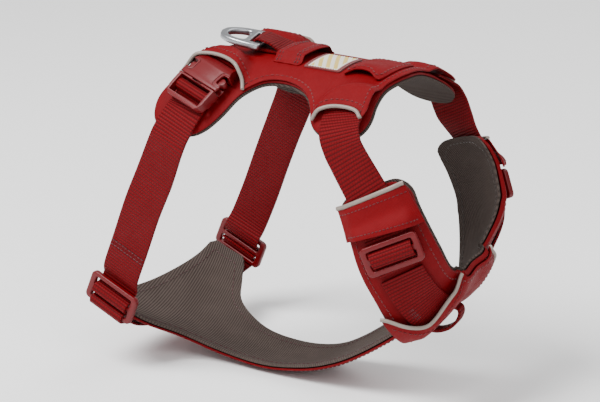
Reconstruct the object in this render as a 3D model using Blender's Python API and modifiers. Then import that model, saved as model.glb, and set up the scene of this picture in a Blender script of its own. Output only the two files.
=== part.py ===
"""Front-clip dog harness, shown as worn by a small dog.

Frame: +X towards the dog's head, +Y to the dog's left, +Z up. The origin is on the underside of the
saddle lining, on the back's ridge, at the middle of the saddle. Lengths below are in millimetres and
every mesh is scaled to metres as it is made.

The soft layers are flat patterns wrapped over three body surfaces: the back (under the saddle), the
collar (neck straps, shoulder pads and chest) and the belly. A height h is measured off the dog's skin.
"""

import math

import bmesh
import bpy
import numpy as np
from mathutils import Matrix, Vector

MM = 0.001
GAP = 0.3

# ---- driving sizes ------------------------------------------------------------------------------
WEBBING = 25.0
WEBBING_THICK = 1.4
BACK_RADIUS = 62.0
FLANK_RADIUS = 55.0
RIDGE_ANGLE = math.radians(46.0)

LINING_THICK = 1.5
PAD_THICK = 1.8
SHELL_THICK = 1.2
PIPING_RADIUS = 1.1

PAD_LOW = LINING_THICK + GAP
PAD_TOP = PAD_LOW + PAD_THICK
COVER_LOW = PAD_TOP + GAP

BUCKLE_AT = (-49.7, 40.9)
BUCKLE_LEAN = math.radians(19.0)
BUCKLE_BEND = 75.0
BUCKLE_HEIGHT = 5.0
BUCKLE_HALF_WIDTH = 15.6
BUCKLE_THICK = 6.6
RECEIVER_LOW = -3.0
RECEIVER_TOP = 17.0
PLUG_LOW = -17.0

GIRTH_SLIDER_AT = (-102.5, 63.0, -139.3)
GIRTH_LEAN = math.radians(22.5)

RING_BAR_AT = (-38.5, -2.5, 9.2)
RING_YAW = math.radians(20.0)
RING_TILT = math.radians(9.0)

ROLL_SHIFT = 12.0
ROLL_DIRECTION = Vector((-0.49, 0.0, 0.87))
LEFT_SLACK = Vector((3.0, 5.0, 0.0))

RED = (0.52, 0.020, 0.028)
DEEP_RED = (0.40, 0.014, 0.020)
PLASTIC_RED = (0.46, 0.016, 0.022)
TAUPE = (0.125, 0.105, 0.098)
GREY_PIPING = (0.46, 0.42, 0.39)
FORGED = (0.36, 0.37, 0.38)
CREAM = (0.78, 0.70, 0.42)

for leftover in list(bpy.data.objects):
    bpy.data.objects.remove(leftover, do_unlink=True)


def new_collection(name):
    collection = bpy.data.collections.new(name)
    bpy.context.scene.collection.children.link(collection)
    return collection


PARTS = new_collection("no_pull_harness")
CUTTERS = new_collection("cutters")


def make_material(name, colour, roughness, metallic=0.0):
    material = bpy.data.materials.new(name)
    material.use_nodes = True
    shader = material.node_tree.nodes["Principled BSDF"]
    shader.inputs["Base Color"].default_value = (*colour, 1.0)
    shader.inputs["Roughness"].default_value = roughness
    shader.inputs["Metallic"].default_value = metallic
    return material


# ---- smooth lines -------------------------------------------------------------------------------
def smooth_line(points, step=4.0, closed=False):
    """Catmull-Rom curve through the points, as a list of vectors about one step apart."""
    given = [Vector(p) for p in points]
    size = len(given)
    line = []
    spans = size if closed else size - 1
    for i in range(spans):
        if closed:
            p0, p1, p2, p3 = (given[(i + k) % size] for k in (-1, 0, 1, 2))
        else:
            p1, p2 = given[i], given[i + 1]
            p0 = given[i - 1] if i else p1 * 2 - p2
            p3 = given[i + 2] if i + 2 < size else p2 * 2 - p1
        count = max(1, round((p2 - p1).length / step))
        for k in range(count):
            t = k / count
            line.append(
                0.5 * (p1 * 2 + (p2 - p0) * t + (p0 * 2 - p1 * 5 + p2 * 4 - p3) * t * t
                       + (p1 * 3 - p0 - p2 * 3 + p3) * t ** 3)
            )
    if not closed:
        line.append(given[-1])
    return line


def mirrored_outline(half):
    """Closes a half outline (given from the centre line round to the centre line) across y = 0."""
    other = [Vector((p.x, -p.y)) for p in reversed(half) if abs(p.y) > 1e-6]
    return list(half) + other


def rounded_box(x0, x1, y0, y1, radius, corner_steps=3):
    """Rectangle outline with round corners."""
    line = []
    corners = ((x1, y1, 0), (x0, y1, 90), (x0, y0, 180), (x1, y0, 270))
    for cx, cy, start in corners:
        centre_x = cx - radius if cx == x1 else cx + radius
        centre_y = cy - radius if cy == y1 else cy + radius
        for k in range(corner_steps + 1):
            angle = math.radians(start + 90.0 * k / corner_steps)
            line.append(Vector((centre_x + radius * math.cos(angle), centre_y + radius * math.sin(angle))))
    return line


def ramp(value, low, high):
    """0 below low, 1 above high, smooth in between; low may be above high."""
    t = min(1.0, max(0.0, (value - low) / (high - low)))
    return t * t * (3.0 - 2.0 * t)


# ---- the dog's body, as three surfaces ----------------------------------------------------------
def back(x, s, h):
    """Point over the back: x along the dog, s the arc length down from the ridge, h off the skin."""
    side = -1.0 if s < 0 else 1.0
    s = abs(s)
    ridge_arc = BACK_RADIUS * RIDGE_ANGLE
    ridge_y = BACK_RADIUS * math.sin(RIDGE_ANGLE)
    ridge_z = BACK_RADIUS * (math.cos(RIDGE_ANGLE) - 1.0)
    if s <= ridge_arc:
        angle = s / BACK_RADIUS
        y = BACK_RADIUS * math.sin(angle)
        z = BACK_RADIUS * (math.cos(angle) - 1.0)
    else:
        angle = RIDGE_ANGLE + (s - ridge_arc) / FLANK_RADIUS
        y = ridge_y + FLANK_RADIUS * (math.sin(angle) - math.sin(RIDGE_ANGLE))
        z = ridge_z + FLANK_RADIUS * (math.cos(angle) - math.cos(RIDGE_ANGLE))
    return Vector((x, side * (y + h * math.sin(angle)), z + h * math.cos(angle)))


# Stations round the collar's left half: centre of the band on the skin, and the direction across it
# towards the neck. The first is the chest's centre, the last lies under the saddle's front flap.
COLLAR_STATIONS = (
    ((86.0, 0.0, -115.0), (0.65, 0.0, 0.76)),
    ((87.0, 26.0, -111.5), (0.53, -0.58, 0.62)),
    ((79.0, 42.5, -84.0), (0.86, -0.42, 0.28)),
    ((64.0, 45.0, -51.0), (0.90, -0.24, 0.36)),
    ((50.0, 49.2, -24.4), (0.97, -0.05, 0.22)),
    ((45.5, 40.4, -15.0), (0.98, -0.10, 0.17)),
    ((41.5, 25.2, -5.4), (0.97, -0.18, 0.10)),
)


def collar_table():
    """Centre, cross direction and outward normal at each millimetre of arc from the chest's centre."""
    centres = [Vector(c) for c, _ in COLLAR_STATIONS]
    crosses = [Vector(w) for _, w in COLLAR_STATIONS]
    mirror = Vector((1.0, -1.0, 1.0))
    centres.insert(0, centres[1] * mirror)
    crosses.insert(0, crosses[1] * mirror)
    line, across = [], []
    for i in range(1, len(centres) - 1):
        p1, p2 = centres[i], centres[i + 1]
        p0 = centres[i - 1]
        p3 = centres[i + 2] if i + 2 < len(centres) else p2 * 2 - p1
        w1, w2 = crosses[i], crosses[i + 1]
        for k in range(40):
            t = k / 40
            line.append(0.5 * (p1 * 2 + (p2 - p0) * t + (p0 * 2 - p1 * 5 + p2 * 4 - p3) * t * t
                               + (p1 * 3 - p0 - p2 * 3 + p3) * t ** 3))
            across.append(w1.lerp(w2, ramp(t, -0.2, 1.2)))
    points = np.array([tuple(p) for p in line])
    lengths = np.r_[0.0, np.cumsum(np.linalg.norm(np.diff(points, axis=0), axis=1))]
    even = np.arange(0.0, lengths[-1], 1.0)
    centre = np.stack([np.interp(even, lengths, points[:, i]) for i in range(3)], axis=1)
    cross = np.stack([np.interp(even, lengths, np.array([tuple(w) for w in across])[:, i])
                      for i in range(3)], axis=1)
    along = np.gradient(centre, axis=0)
    along[0] = (0.0, 1.0, 0.0)
    along /= np.linalg.norm(along, axis=1)[:, None]
    cross -= (cross * along).sum(axis=1)[:, None] * along
    cross /= np.linalg.norm(cross, axis=1)[:, None]
    return centre, cross, np.cross(cross, -along)


COLLAR_CENTRE, COLLAR_CROSS, COLLAR_NORMAL = collar_table()
COLLAR_LENGTH = len(COLLAR_CENTRE) - 1.0
CROWN_RADIUS = 110.0


def collar_frame(q):
    """Centre, cross direction and normal at signed arc q; q is positive on the dog's left."""
    side = -1.0 if q < 0 else 1.0
    place = min(abs(q), COLLAR_LENGTH - 0.001)
    i = int(place)
    t = place - i
    mirror = Vector((1.0, side, 1.0))
    found = []
    for table in (COLLAR_CENTRE, COLLAR_CROSS, COLLAR_NORMAL):
        found.append(Vector(table[i] * (1.0 - t) + table[i + 1] * t) * mirror)
    return found


def collar(q, w, h):
    """Point on the collar: q round it, w across it towards the neck, h off the skin."""
    centre, cross, normal = collar_frame(q)
    crown = ramp(abs(q), 118.0, 96.0) * w * w / (2.0 * CROWN_RADIUS)
    return centre + cross * w + normal * (h - crown)


BELLY_LINE = ((-124.0, -147.0), (-100.0, -160.5), (-78.0, -169.5), (-53.0, -176.0), (-25.0, -178.0),
              (0.0, -174.0), (20.0, -165.5), (40.0, -153.0), (58.0, -140.5), (74.0, -128.0))
BELLY_POINTS = smooth_line([(x, z) for x, z in BELLY_LINE], step=2.0)
BELLY_X = [p.x for p in BELLY_POINTS]
BELLY_Z = [p.y for p in BELLY_POINTS]


def belly_skin(x, y):
    curl = 0.0023 + 0.0037 * ramp(x, -118.0, -66.0)
    wing = 10.0 * (abs(y) / 62.0) ** 8
    return Vector((x, y, float(np.interp(x, BELLY_X, BELLY_Z)) + curl * y * y + wing))


def belly(x, y, h):
    """Point under the belly, from its place in plan; h is outward, that is downward."""
    here = belly_skin(x, y)
    along = belly_skin(x + 1.0, y) - belly_skin(x - 1.0, y)
    across = belly_skin(x, y + 1.0) - belly_skin(x, y - 1.0)
    return here - along.cross(across).normalized() * h


def worn(point):
    """The left neck strap is set shorter, which lifts the chest's left side and drops its right."""
    reach = ramp(-point.z, 22.0, 66.0) * ramp(point.x, -10.0, 45.0)
    side = max(-1.0, min(1.0, point.y / 45.0))
    side = side * (1.5 - 0.5 * side * side)
    slack = ramp(-point.z, 34.0, 58.0) * ramp(-point.z, 122.0, 84.0) * ramp(point.y, 20.0, 40.0)
    slack *= ramp(point.x, 0.0, 40.0)
    return point + ROLL_DIRECTION * (ROLL_SHIFT * 0.5 * side * reach) + LEFT_SLACK * slack


# ---- mesh builders ------------------------------------------------------------------------------
def mesh_of_object(obj):
    """The evaluated mesh of a helper object, welded, as a bmesh; the helper is removed."""
    graph = bpy.context.evaluated_depsgraph_get()
    mesh = bpy.data.meshes.new_from_object(obj.evaluated_get(graph))
    mesh.transform(obj.matrix_world)
    bm = bmesh.new()
    bm.from_mesh(mesh)
    bpy.data.meshes.remove(mesh)
    bpy.data.objects.remove(obj, do_unlink=True)
    bmesh.ops.remove_doubles(bm, verts=bm.verts, dist=1e-5)
    return bm


def flat_plate(loops, z0, z1, bevel=0.0, bevel_steps=1):
    """Outlines (the first outside, the rest holes) filled and given a thickness, from z0 to z1."""
    data = bpy.data.curves.new("outline", "CURVE")
    data.dimensions = "2D"
    data.fill_mode = "BOTH"
    data.extrude = (z1 - z0) / 2.0 - bevel
    data.bevel_depth = bevel
    data.offset = -bevel
    data.bevel_resolution = bevel_steps - 1
    for loop in loops:
        spline = data.splines.new("POLY")
        spline.points.add(len(loop) - 1)
        for point, at in zip(spline.points, loop):
            point.co = (at[0], at[1], 0.0, 1.0)
        spline.use_cyclic_u = True
    obj = bpy.data.objects.new("outline", data)
    CUTTERS.objects.link(obj)
    obj.location.z = (z0 + z1) / 2.0
    bpy.context.view_layer.update()
    return mesh_of_object(obj)


def tile(bm, step_x=0.0, step_y=0.0):
    """Merges flat faces, then slices the mesh on a regular grid so that it can be bent smoothly."""
    bmesh.ops.dissolve_limit(bm, angle_limit=0.01, verts=bm.verts, edges=bm.edges)
    for axis, step in ((0, step_x), (1, step_y)):
        if not step:
            continue
        low = min(v.co[axis] for v in bm.verts)
        high = max(v.co[axis] for v in bm.verts)
        normal = Vector((axis == 0, axis == 1, 0))
        for k in range(math.ceil(low / step), math.floor(high / step) + 1):
            if k * step - low < 0.4 or high - k * step < 0.4:
                continue
            cut = bmesh.ops.bisect_plane
            cut(bm, geom=bm.verts[:] + bm.edges[:] + bm.faces[:], dist=1e-4, plane_co=normal * (k * step),
                plane_no=normal)
    return bm


def bend(bm, surface):
    """Moves every vertex through surface(x, y, z)."""
    for vert in bm.verts:
        vert.co = surface(*vert.co)
    return bm


def boolean(bm, other, operation="DIFFERENCE"):
    """Exact boolean of two bmeshes."""
    pair = []
    for source, name in ((bm, "body"), (other, "tool")):
        bmesh.ops.recalc_face_normals(source, faces=source.faces)
        mesh = bpy.data.meshes.new(name)
        source.to_mesh(mesh)
        source.free()
        obj = bpy.data.objects.new(name, mesh)
        CUTTERS.objects.link(obj)
        pair.append(obj)
    body, tool = pair
    modifier = body.modifiers.new("cut", "BOOLEAN")
    modifier.object = tool
    modifier.operation = operation
    modifier.solver = "EXACT"
    bpy.context.view_layer.update()
    result = mesh_of_object(body)
    bpy.data.objects.remove(tool, do_unlink=True)
    return result


def block(x0, x1, y0, y1, z0, z1):
    bm = bmesh.new()
    bmesh.ops.create_cube(bm, size=1.0)
    size = Vector((x1 - x0, y1 - y0, z1 - z0))
    middle = Vector((x0 + x1, y0 + y1, z0 + z1)) / 2.0
    bmesh.ops.transform(bm, matrix=Matrix.Translation(middle) @ Matrix.Diagonal((*size, 1.0)), verts=bm.verts)
    return bm


def ribbon(stations, width, thick, lanes=2, step=5.0):
    """Webbing along a smooth path. A station is a point and the direction across the webbing."""
    points = smooth_line([p for p, _ in stations], step)
    marks = smooth_line([(*w, 0.0) for _, w in stations], 1e9)
    knots = [Vector(p) for p, _ in stations]
    count = len(points)
    across = []
    for i in range(len(knots) - 1):
        share = max(1, round((knots[i + 1] - knots[i]).length / step))
        for k in range(share):
            across.append(marks[i].lerp(marks[i + 1], k / share).xyz.normalized())
    across.append(marks[-1].xyz.normalized())
    bm = bmesh.new()
    bmesh.ops.create_grid(bm, x_segments=count - 1, y_segments=lanes, size=0.5)
    middle = {}
    for vert in bm.verts:
        i = round((vert.co.x + 0.5) * (count - 1))
        share = vert.co.y
        forward = points[min(i + 1, count - 1)] - points[max(i - 1, 0)]
        side = (across[i] - forward.normalized() * across[i].dot(forward.normalized())).normalized()
        middle[vert] = points[i] + side * (width * share)
    for vert, at in middle.items():
        vert.co = at
    bm.normal_update()
    return thicken(bm, thick)


def thicken(bm, thick):
    """Gives an open sheet a thickness, centred on it."""
    mesh = bpy.data.meshes.new("sheet")
    bm.to_mesh(mesh)
    bm.free()
    obj = bpy.data.objects.new("sheet", mesh)
    CUTTERS.objects.link(obj)
    modifier = obj.modifiers.new("wall", "SOLIDIFY")
    modifier.thickness = thick
    modifier.offset = 0.0
    modifier.use_even_offset = True
    bpy.context.view_layer.update()
    return mesh_of_object(obj)


def cord(points, radius, resolution=1):
    """Round cord with filled caps through the points."""
    data = bpy.data.curves.new("cord", "CURVE")
    data.dimensions = "3D"
    data.bevel_depth = radius
    data.bevel_resolution = resolution
    data.use_fill_caps = True
    spline = data.splines.new("POLY")
    spline.points.add(len(points) - 1)
    for point, at in zip(spline.points, points):
        point.co = (*at, 1.0)
    obj = bpy.data.objects.new("cord", data)
    CUTTERS.objects.link(obj)
    bpy.context.view_layer.update()
    return mesh_of_object(obj)


def finish(name, bm, material, pivot=(0.0, 0.0, 0.0), mirror=False, smooth_angle=40.0):
    """Makes the node: mirrored to the dog's right if asked, set as worn, its origin at the pivot."""
    if mirror:
        bmesh.ops.scale(bm, vec=(1.0, -1.0, 1.0), verts=bm.verts)
    pivot = Vector(pivot)
    if mirror:
        pivot.y = -pivot.y
    for vert in bm.verts:
        vert.co = worn(vert.co)
    pivot = worn(pivot) if pivot.length else pivot
    bm.normal_update()
    bmesh.ops.recalc_face_normals(bm, faces=bm.faces)
    if bm.calc_volume(signed=True) < 0.0:
        bmesh.ops.reverse_faces(bm, faces=bm.faces)
    bmesh.ops.transform(bm, matrix=Matrix.Scale(MM, 4) @ Matrix.Translation(-pivot), verts=bm.verts)
    mesh = bpy.data.meshes.new(name)
    bm.to_mesh(mesh)
    bm.free()
    mesh.shade_smooth()
    mesh.set_sharp_from_angle(angle=math.radians(smooth_angle))
    mesh.materials.append(material)
    obj = bpy.data.objects.new(name, mesh)
    obj.location = pivot * MM
    PARTS.objects.link(obj)
    return obj


SIDES = (("left", False), ("right", True))

# ---- saddle -------------------------------------------------------------------------------------
SADDLE_HALF = ((-57.0, 0.0), (-62.0, 10.0), (-70.0, 22.0), (-73.0, 37.0), (-77.0, 47.0), (-78.5, 57.0),
               (-75.0, 66.0), (-64.0, 71.0), (-50.0, 71.0), (-40.0, 66.0), (-32.0, 56.0), (-26.0, 42.5),
               (-17.0, 32.5), (-6.0, 30.0), (5.0, 31.5), (14.0, 36.0), (20.5, 43.0), (25.0, 51.0),
               (32.0, 56.5), (43.0, 58.5), (53.0, 57.0), (59.5, 51.0), (61.0, 43.0), (58.5, 32.0),
               (57.0, 20.0), (58.5, 9.0), (59.5, 0.0))
COVER_REAR = ((-57.0, 0.0), (-62.0, 10.0), (-69.5, 22.0), (-72.0, 36.0))
REAR_ARCH = ((-72.0, 36.0), (-67.0, 30.0), (-60.0, 26.5), (-52.0, 25.5), (-43.0, 26.5), (-34.0, 29.5),
             (-27.5, 34.0), (-24.5, 39.5))
COVER_WAIST = ((-24.5, 39.5), (-16.0, 31.5), (-6.0, 29.0), (5.0, 30.5), (14.5, 35.0), (21.5, 42.5),
               (26.5, 50.0))
FRONT_ARCH = ((26.5, 50.0), (30.0, 45.5), (37.0, 42.0), (46.0, 41.0), (54.0, 42.0), (59.0, 45.5))
COVER_FRONT = ((59.0, 45.5), (59.8, 41.5), (57.5, 32.0), (56.0, 20.0), (57.5, 9.0), (58.5, 0.0))

# Humps: place (x, s), height, radius of the flat top and radius where the rise starts.
REAR_RISE = (-48.0, 35.0, 8.1, 15.0, 23.0)
FRONT_RISE = (47.0, 43.0, 4.1, 15.5, 23.0)
PRESS = (-50.0, 40.0, 0.9, 15.0, 28.0)


def hump(x, s, spot):
    """Round hump centred at x and both plus and minus s."""
    at_x, at_s, height, top, foot = spot
    return height * ramp(math.hypot(x - at_x, abs(s) - at_s), foot, top)


def cover_rise(x, s):
    return hump(x, s, REAR_RISE) + hump(x, s, FRONT_RISE)


def saddle_surface(low):
    """Surface for a layer whose underside is at height low; the pad dips under the buckles."""
    def place(x, s, z):
        return back(x, s, low + z)
    return place


def pad_surface(x, s, z):
    return back(x, s, PAD_LOW + z * (1.0 - hump(x, s, PRESS) / PAD_THICK))


def cover_surface(x, s, z):
    return back(x, s, COVER_LOW + z + cover_rise(x, s))


def saddle_layer(half, thick, surface, tile_x=12.0, tile_s=8.0):
    plate = flat_plate([mirrored_outline(half)], 0.0, thick)
    return bend(tile(plate, tile_x, tile_s), surface)


def inset(line, amount):
    """Moves a half outline inward by an amount, keeping its ends on the centre line."""
    moved = []
    for i, point in enumerate(line):
        before = line[max(i - 1, 0)]
        after = line[min(i + 1, len(line) - 1)]
        run = (after - before).normalized()
        shift = Vector((run.y, -run.x)) * amount
        moved.append(point + shift)
    moved[0].y = 0.0
    moved[-1].y = 0.0
    return moved


def build_saddle():
    lining = make_material("lining_mesh", TAUPE, 0.9)
    padding = make_material("pad_fabric", RED, 0.75)
    shell = make_material("saddle_fabric", RED, 0.7)
    trim = make_material("reflective_piping", GREY_PIPING, 0.5)
    base = smooth_line(SADDLE_HALF, 5.0)
    finish("saddle_lining", saddle_layer(base, LINING_THICK, saddle_surface(0.0)), lining)
    finish("saddle_pad", saddle_layer(inset(base, 0.9), PAD_THICK, pad_surface), padding)
    runs = (COVER_REAR, REAR_ARCH, COVER_WAIST, FRONT_ARCH, COVER_FRONT)
    cover = []
    for run in runs:
        cover += smooth_line(run, 4.0)[:-1]
    cover.append(Vector(COVER_FRONT[-1]))
    finish("saddle_cover", saddle_layer(cover, SHELL_THICK, cover_surface, 10.0, 8.0), shell)
    for place, arch in (("rear", REAR_ARCH), ("front", FRONT_ARCH)):
        line = smooth_line(arch, 3.0)
        reach = PIPING_RADIUS + GAP
        for side, mirror in SIDES:
            points = []
            for i, at in enumerate(line):
                run = (line[min(i + 1, len(line) - 1)] - line[max(i - 1, 0)]).normalized()
                x, s = at.x - run.y * reach, at.y + run.x * reach
                points.append(back(x, s, COVER_LOW + 0.7 + cover_rise(x, s)))
            name = f"piping_{place}_{side}"
            finish(name, cord(points, PIPING_RADIUS), trim, mirror=mirror)


# ---- ridge: leash ring, its tab, label and pocket -----------------------------------------------
COVER_TOP = COVER_LOW + SHELL_THICK
TAB_WIDTH = 19.0
TAB_THICK = 1.1
BAND_HALF = 16.5
LABEL_SPAN = (-16.5, 5.0)


def build_leash_ring():
    """Forged plate ring: rounded nose, D opening, solid web, and a slot over the round base bar."""
    metal = make_material("forged_aluminium", FORGED, 0.35, 0.9)
    outer = mirrored_outline(smooth_line(((-24.5, 0.0), (-22.8, 7.0), (-16.5, 12.6), (-8.0, 15.0), (-0.5, 15.2),
                                          (2.0, 13.2), (2.0, 8.0), (2.0, 0.0)), 2.6))
    eye = mirrored_outline(smooth_line(((-20.3, 0.0), (-18.8, 5.2), (-14.2, 8.8), (-10.0, 9.4), (-8.6, 7.2),
                                        (-8.6, 0.0)), 2.6))
    slot = rounded_box(-5.0, -1.6, -10.4, 10.4, 1.2, 2)
    ring = flat_plate([outer, eye, slot], -1.8, 1.8, bevel=0.7, bevel_steps=1)
    bar = Vector(RING_BAR_AT)
    turn = Matrix.Translation(bar) @ Matrix.Rotation(RING_YAW, 4, "Z") @ Matrix.Rotation(RING_TILT, 4, "Y")
    bmesh.ops.transform(ring, matrix=turn, verts=ring.verts)
    finish("leash_ring", ring, metal, pivot=bar)


def build_ridge():
    """Ring tab, the band sewn over its end, the woven label and the tag pocket."""
    webbing = make_material("tab_webbing", DEEP_RED, 0.8)
    shell = make_material("ridge_fabric", RED, 0.7)
    woven = make_material("woven_label", CREAM, 0.7)
    bar = Vector(RING_BAR_AT)
    low = COVER_TOP + GAP + TAB_THICK / 2.0
    loop = bar.z - low
    square = Vector((0.0, 1.0, 0.0))
    turned = Vector((-math.sin(RING_YAW), math.cos(RING_YAW), 0.0))
    back_down = turned.cross(Vector((0.0, 0.0, 1.0)))
    path = [((-9.0, 0.0, low), square), ((-24.0, -0.5, low), square)]
    for degrees in (300, 270, 240, 210, 180, 150, 120, 92, 66):
        angle = math.radians(degrees)
        at = bar + back_down * (loop * math.cos(angle)) + Vector((0.0, 0.0, loop * math.sin(angle)))
        path.append((at, turned))
    high = low + TAB_THICK + GAP
    path += [((-30.0, -1.6, 10.4), turned), ((-23.0, -0.4, high + 0.3), square), ((-15.0, 0.0, high), square),
             ((-9.0, 0.0, high), square)]
    finish("ring_tab", ribbon(path, TAB_WIDTH, TAB_THICK, lanes=2, step=2.6), webbing)

    band_low = COVER_TOP + GAP
    over_tab = high + TAB_THICK / 2.0 + 0.9 - band_low

    def band_surface(x, s, z):
        return back(x, s, band_low + z + over_tab * ramp(abs(s), 14.5, 10.6))

    band = flat_plate([rounded_box(-21.0, -2.5, -BAND_HALF, BAND_HALF, 1.5, 2)], 0.0, 1.2)
    finish("tab_band", bend(tile(band, 0.0, 3.0), band_surface), shell)

    label = flat_plate([rounded_box(0.5, 24.5, *LABEL_SPAN, 1.0, 2)], 0.0, 0.9)
    finish("woven_label", bend(tile(label, 0.0, 6.0), saddle_surface(COVER_TOP + GAP)), woven)

    def pocket_surface(x, s, z):
        gape = 3.6 * ramp(s, 4.0, -16.0) * math.sin(math.pi * min(1.0, max(0.0, (x - 27.0) / 26.0)))
        return back(x, s, COVER_TOP + GAP + z + gape)

    outline = smooth_line(((27.5, -16.0), (34.0, -15.0), (44.0, -15.5), (51.5, -17.5), (53.0, 0.0),
                           (50.0, 16.5), (39.0, 17.5), (28.5, 16.5)), 6.0, closed=True)
    pocket = flat_plate([outline], 0.0, 1.2)
    hinge = back(39.0, 19.6, COVER_TOP + GAP + 1.2)
    finish("tag_pocket_flap", bend(tile(pocket, 7.0, 6.0), pocket_surface), shell, pivot=hinge)


# ---- side-release buckles -----------------------------------------------------------------------
def buckle_frame():
    """Origin, across, along (towards the ridge) and outward directions of the left buckle."""
    x, s = BUCKLE_AT
    origin = back(x, s, BUCKLE_HEIGHT)
    down = (back(x, s + 0.5, 0.0) - back(x, s - 0.5, 0.0)).normalized()
    forward = Vector((1.0, 0.0, 0.0))
    outward = (back(x, s, 1.0) - back(x, s, 0.0)).normalized()
    along = forward * math.sin(BUCKLE_LEAN) - down * math.cos(BUCKLE_LEAN)
    return origin, along.cross(outward), along, outward


def buckle_point(a, b, c):
    """From flat buckle sizes (a across, b towards the ridge, c outward) to its place, bent to the back."""
    origin, across, along, outward = buckle_frame()
    angle = b / BUCKLE_BEND
    radius = BUCKLE_BEND + c
    return (origin - outward * BUCKLE_BEND + along * (radius * math.sin(angle))
            + outward * (radius * math.cos(angle)) + across * a)


def buckle_pivot():
    """Centre of the curve that the buckle is bent to."""
    origin, _, _, outward = buckle_frame()
    return origin - outward * BUCKLE_BEND


def build_receiver():
    """Flat box with a hollow mouth, a window each side for the prong and a slotted end bar."""
    half, low, top = BUCKLE_HALF_WIDTH, RECEIVER_LOW, RECEIVER_TOP
    outline = [Vector(p) for p in ((half, low), (half, 7.4), (half - 2.6, 11.0), (half - 3.0, top),
                                   (3.0 - half, top), (2.6 - half, 11.0), (-half, 7.4), (-half, low))]
    body = flat_plate([outline], 0.0, BUCKLE_THICK, bevel=0.6)
    body = boolean(body, block(-half + 2.0, half - 2.0, low - 5.0, 9.8, 1.3, BUCKLE_THICK - 1.3))
    body = boolean(body, block(-half - 4.0, half + 4.0, low - 5.0, 6.0, 1.3, BUCKLE_THICK - 1.3))
    window = rounded_box(half - 4.6, half + 5.0, 0.9, 6.9, 1.6, 2)
    for sign in (1.0, -1.0):
        cutter = flat_plate([[Vector((p.x * sign, p.y)) for p in window]], -2.0, BUCKLE_THICK + 2.0)
        body = boolean(body, cutter)
    slot = block(-10.8, 10.8, 12.4, 14.6, -3.0, BUCKLE_THICK + 3.0)
    body = boolean(body, slot)
    taper = block(-half - 2.0, half + 2.0, 8.2, top + 8.0, 0.0, 9.0)
    bmesh.ops.rotate(taper, cent=(0.0, 8.2, 0.0), matrix=Matrix.Rotation(math.radians(-17.0), 3, "X"),
                     verts=taper.verts)
    bmesh.ops.translate(taper, vec=(0.0, 0.0, BUCKLE_THICK), verts=taper.verts)
    return boolean(body, taper)


def build_plug():
    """Ladder frame with its webbing bar, a bridge into the receiver and a middle guide."""
    half, low, top = BUCKLE_HALF_WIDTH, PLUG_LOW, RECEIVER_LOW - GAP
    outline = [Vector(p) for p in ((half - 0.3, top), (2.0, top), (2.0, 8.5), (-2.0, 8.5), (-2.0, top),
                                   (0.3 - half, top), (0.3 - half, low + 3.5), (3.0 - half, low),
                                   (half - 3.0, low), (half - 0.3, low + 3.5))]
    body = flat_plate([outline], 0.0, BUCKLE_THICK, bevel=0.0)
    body = boolean(body, block(-13.1, 13.1, low + 2.4, -9.2, -2.0, BUCKLE_THICK + 2.0))
    body = boolean(body, block(-13.1, 13.1, -7.4, -4.4, -2.0, BUCKLE_THICK + 2.0))
    body = boolean(body, block(-13.1, 13.1, -9.2, -7.4, -2.0, 1.9))
    body = boolean(body, block(-13.1, 13.1, -9.2, -7.4, 3.8, BUCKLE_THICK + 2.0))
    body = boolean(body, block(-4.0, 4.0, top - 0.6, 10.0, -2.0, 1.3 + GAP))
    body = boolean(body, block(-4.0, 4.0, top - 0.6, 10.0, BUCKLE_THICK - 1.3 - GAP, BUCKLE_THICK + 2.0))
    underside = block(-half - 2.0, half + 2.0, low - 2.0, low + 5.0, -3.0, 0.9)
    return boolean(body, underside)


def build_prong():
    """One springy prong at positive a: root at the plug's shoulder, barbed pad in the window."""
    half = BUCKLE_HALF_WIDTH
    outline = [Vector(p) for p in ((8.8, -2.4), (11.6, -2.4), (half - 3.3, 1.3), (half - 1.9, 1.6),
                                   (half - 0.5, 2.6), (half - 0.4, 4.4), (half - 2.4, 5.7),
                                   (half - 4.0, 5.5), (half - 5.0, 3.8), (9.6, 0.0))]
    return flat_plate([outline], 1.3 + GAP, BUCKLE_THICK - 1.3 - GAP)


PRONG_ROOT = (10.2, -2.4, BUCKLE_THICK / 2.0)


def build_buckles():
    plastic = make_material("buckle_plastic", PLASTIC_RED, 0.38)
    webbing = make_material("receiver_webbing", DEEP_RED, 0.8)
    for side, mirror in SIDES:
        receiver = bend(tile(build_receiver(), 0.0, 5.0), buckle_point)
        finish(f"buckle_receiver_{side}", receiver, plastic, mirror=mirror, smooth_angle=30.0)
        plug = bend(tile(build_plug(), 0.0, 5.0), buckle_point)
        finish(f"buckle_plug_{side}", plug, plastic, pivot=buckle_pivot(), mirror=mirror, smooth_angle=30.0)
        for place, sign in (("rear", 1.0), ("front", -1.0)):
            prong = build_prong()
            bmesh.ops.scale(prong, vec=(sign, 1.0, 1.0), verts=prong.verts)
            root = buckle_point(PRONG_ROOT[0] * sign, *PRONG_ROOT[1:])
            finish(f"prong_{place}_{side}", bend(prong, buckle_point), plastic, pivot=root, mirror=mirror,
                   smooth_angle=30.0)
        across = buckle_frame()[1]
        path = [(buckle_point(0.0, b, c), across) for b, c in ((24.0, -0.1), (19.5, 0.0), (17.8, -0.9),
                                                               (14.6, -1.1), (13.4, 0.0), (13.4, 2.6),
                                                               (13.4, 4.1))]
        finish(f"receiver_tab_{side}", ribbon(path, 20.0, 1.0, lanes=1, step=4.0), webbing, mirror=mirror)


# ---- girth: straps, sliders and belly panel -----------------------------------------------------
def slider_plate(length, height, bar, webbing_width):
    """Three-bar webbing slider in its own plane: x across the webbing, y along it."""
    half, tall = length / 2.0, height / 2.0
    inner = webbing_width / 2.0
    rim = bar
    outer = rounded_box(-half, half, -tall, tall, 3.0, 3)
    upper = rounded_box(-inner, inner, bar / 2.0, tall - rim, 0.8, 1)
    lower = rounded_box(-inner, inner, rim - tall, -bar / 2.0, 0.8, 1)
    return flat_plate([outer, upper, lower], -1.6, 1.6, bevel=0.6)


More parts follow.
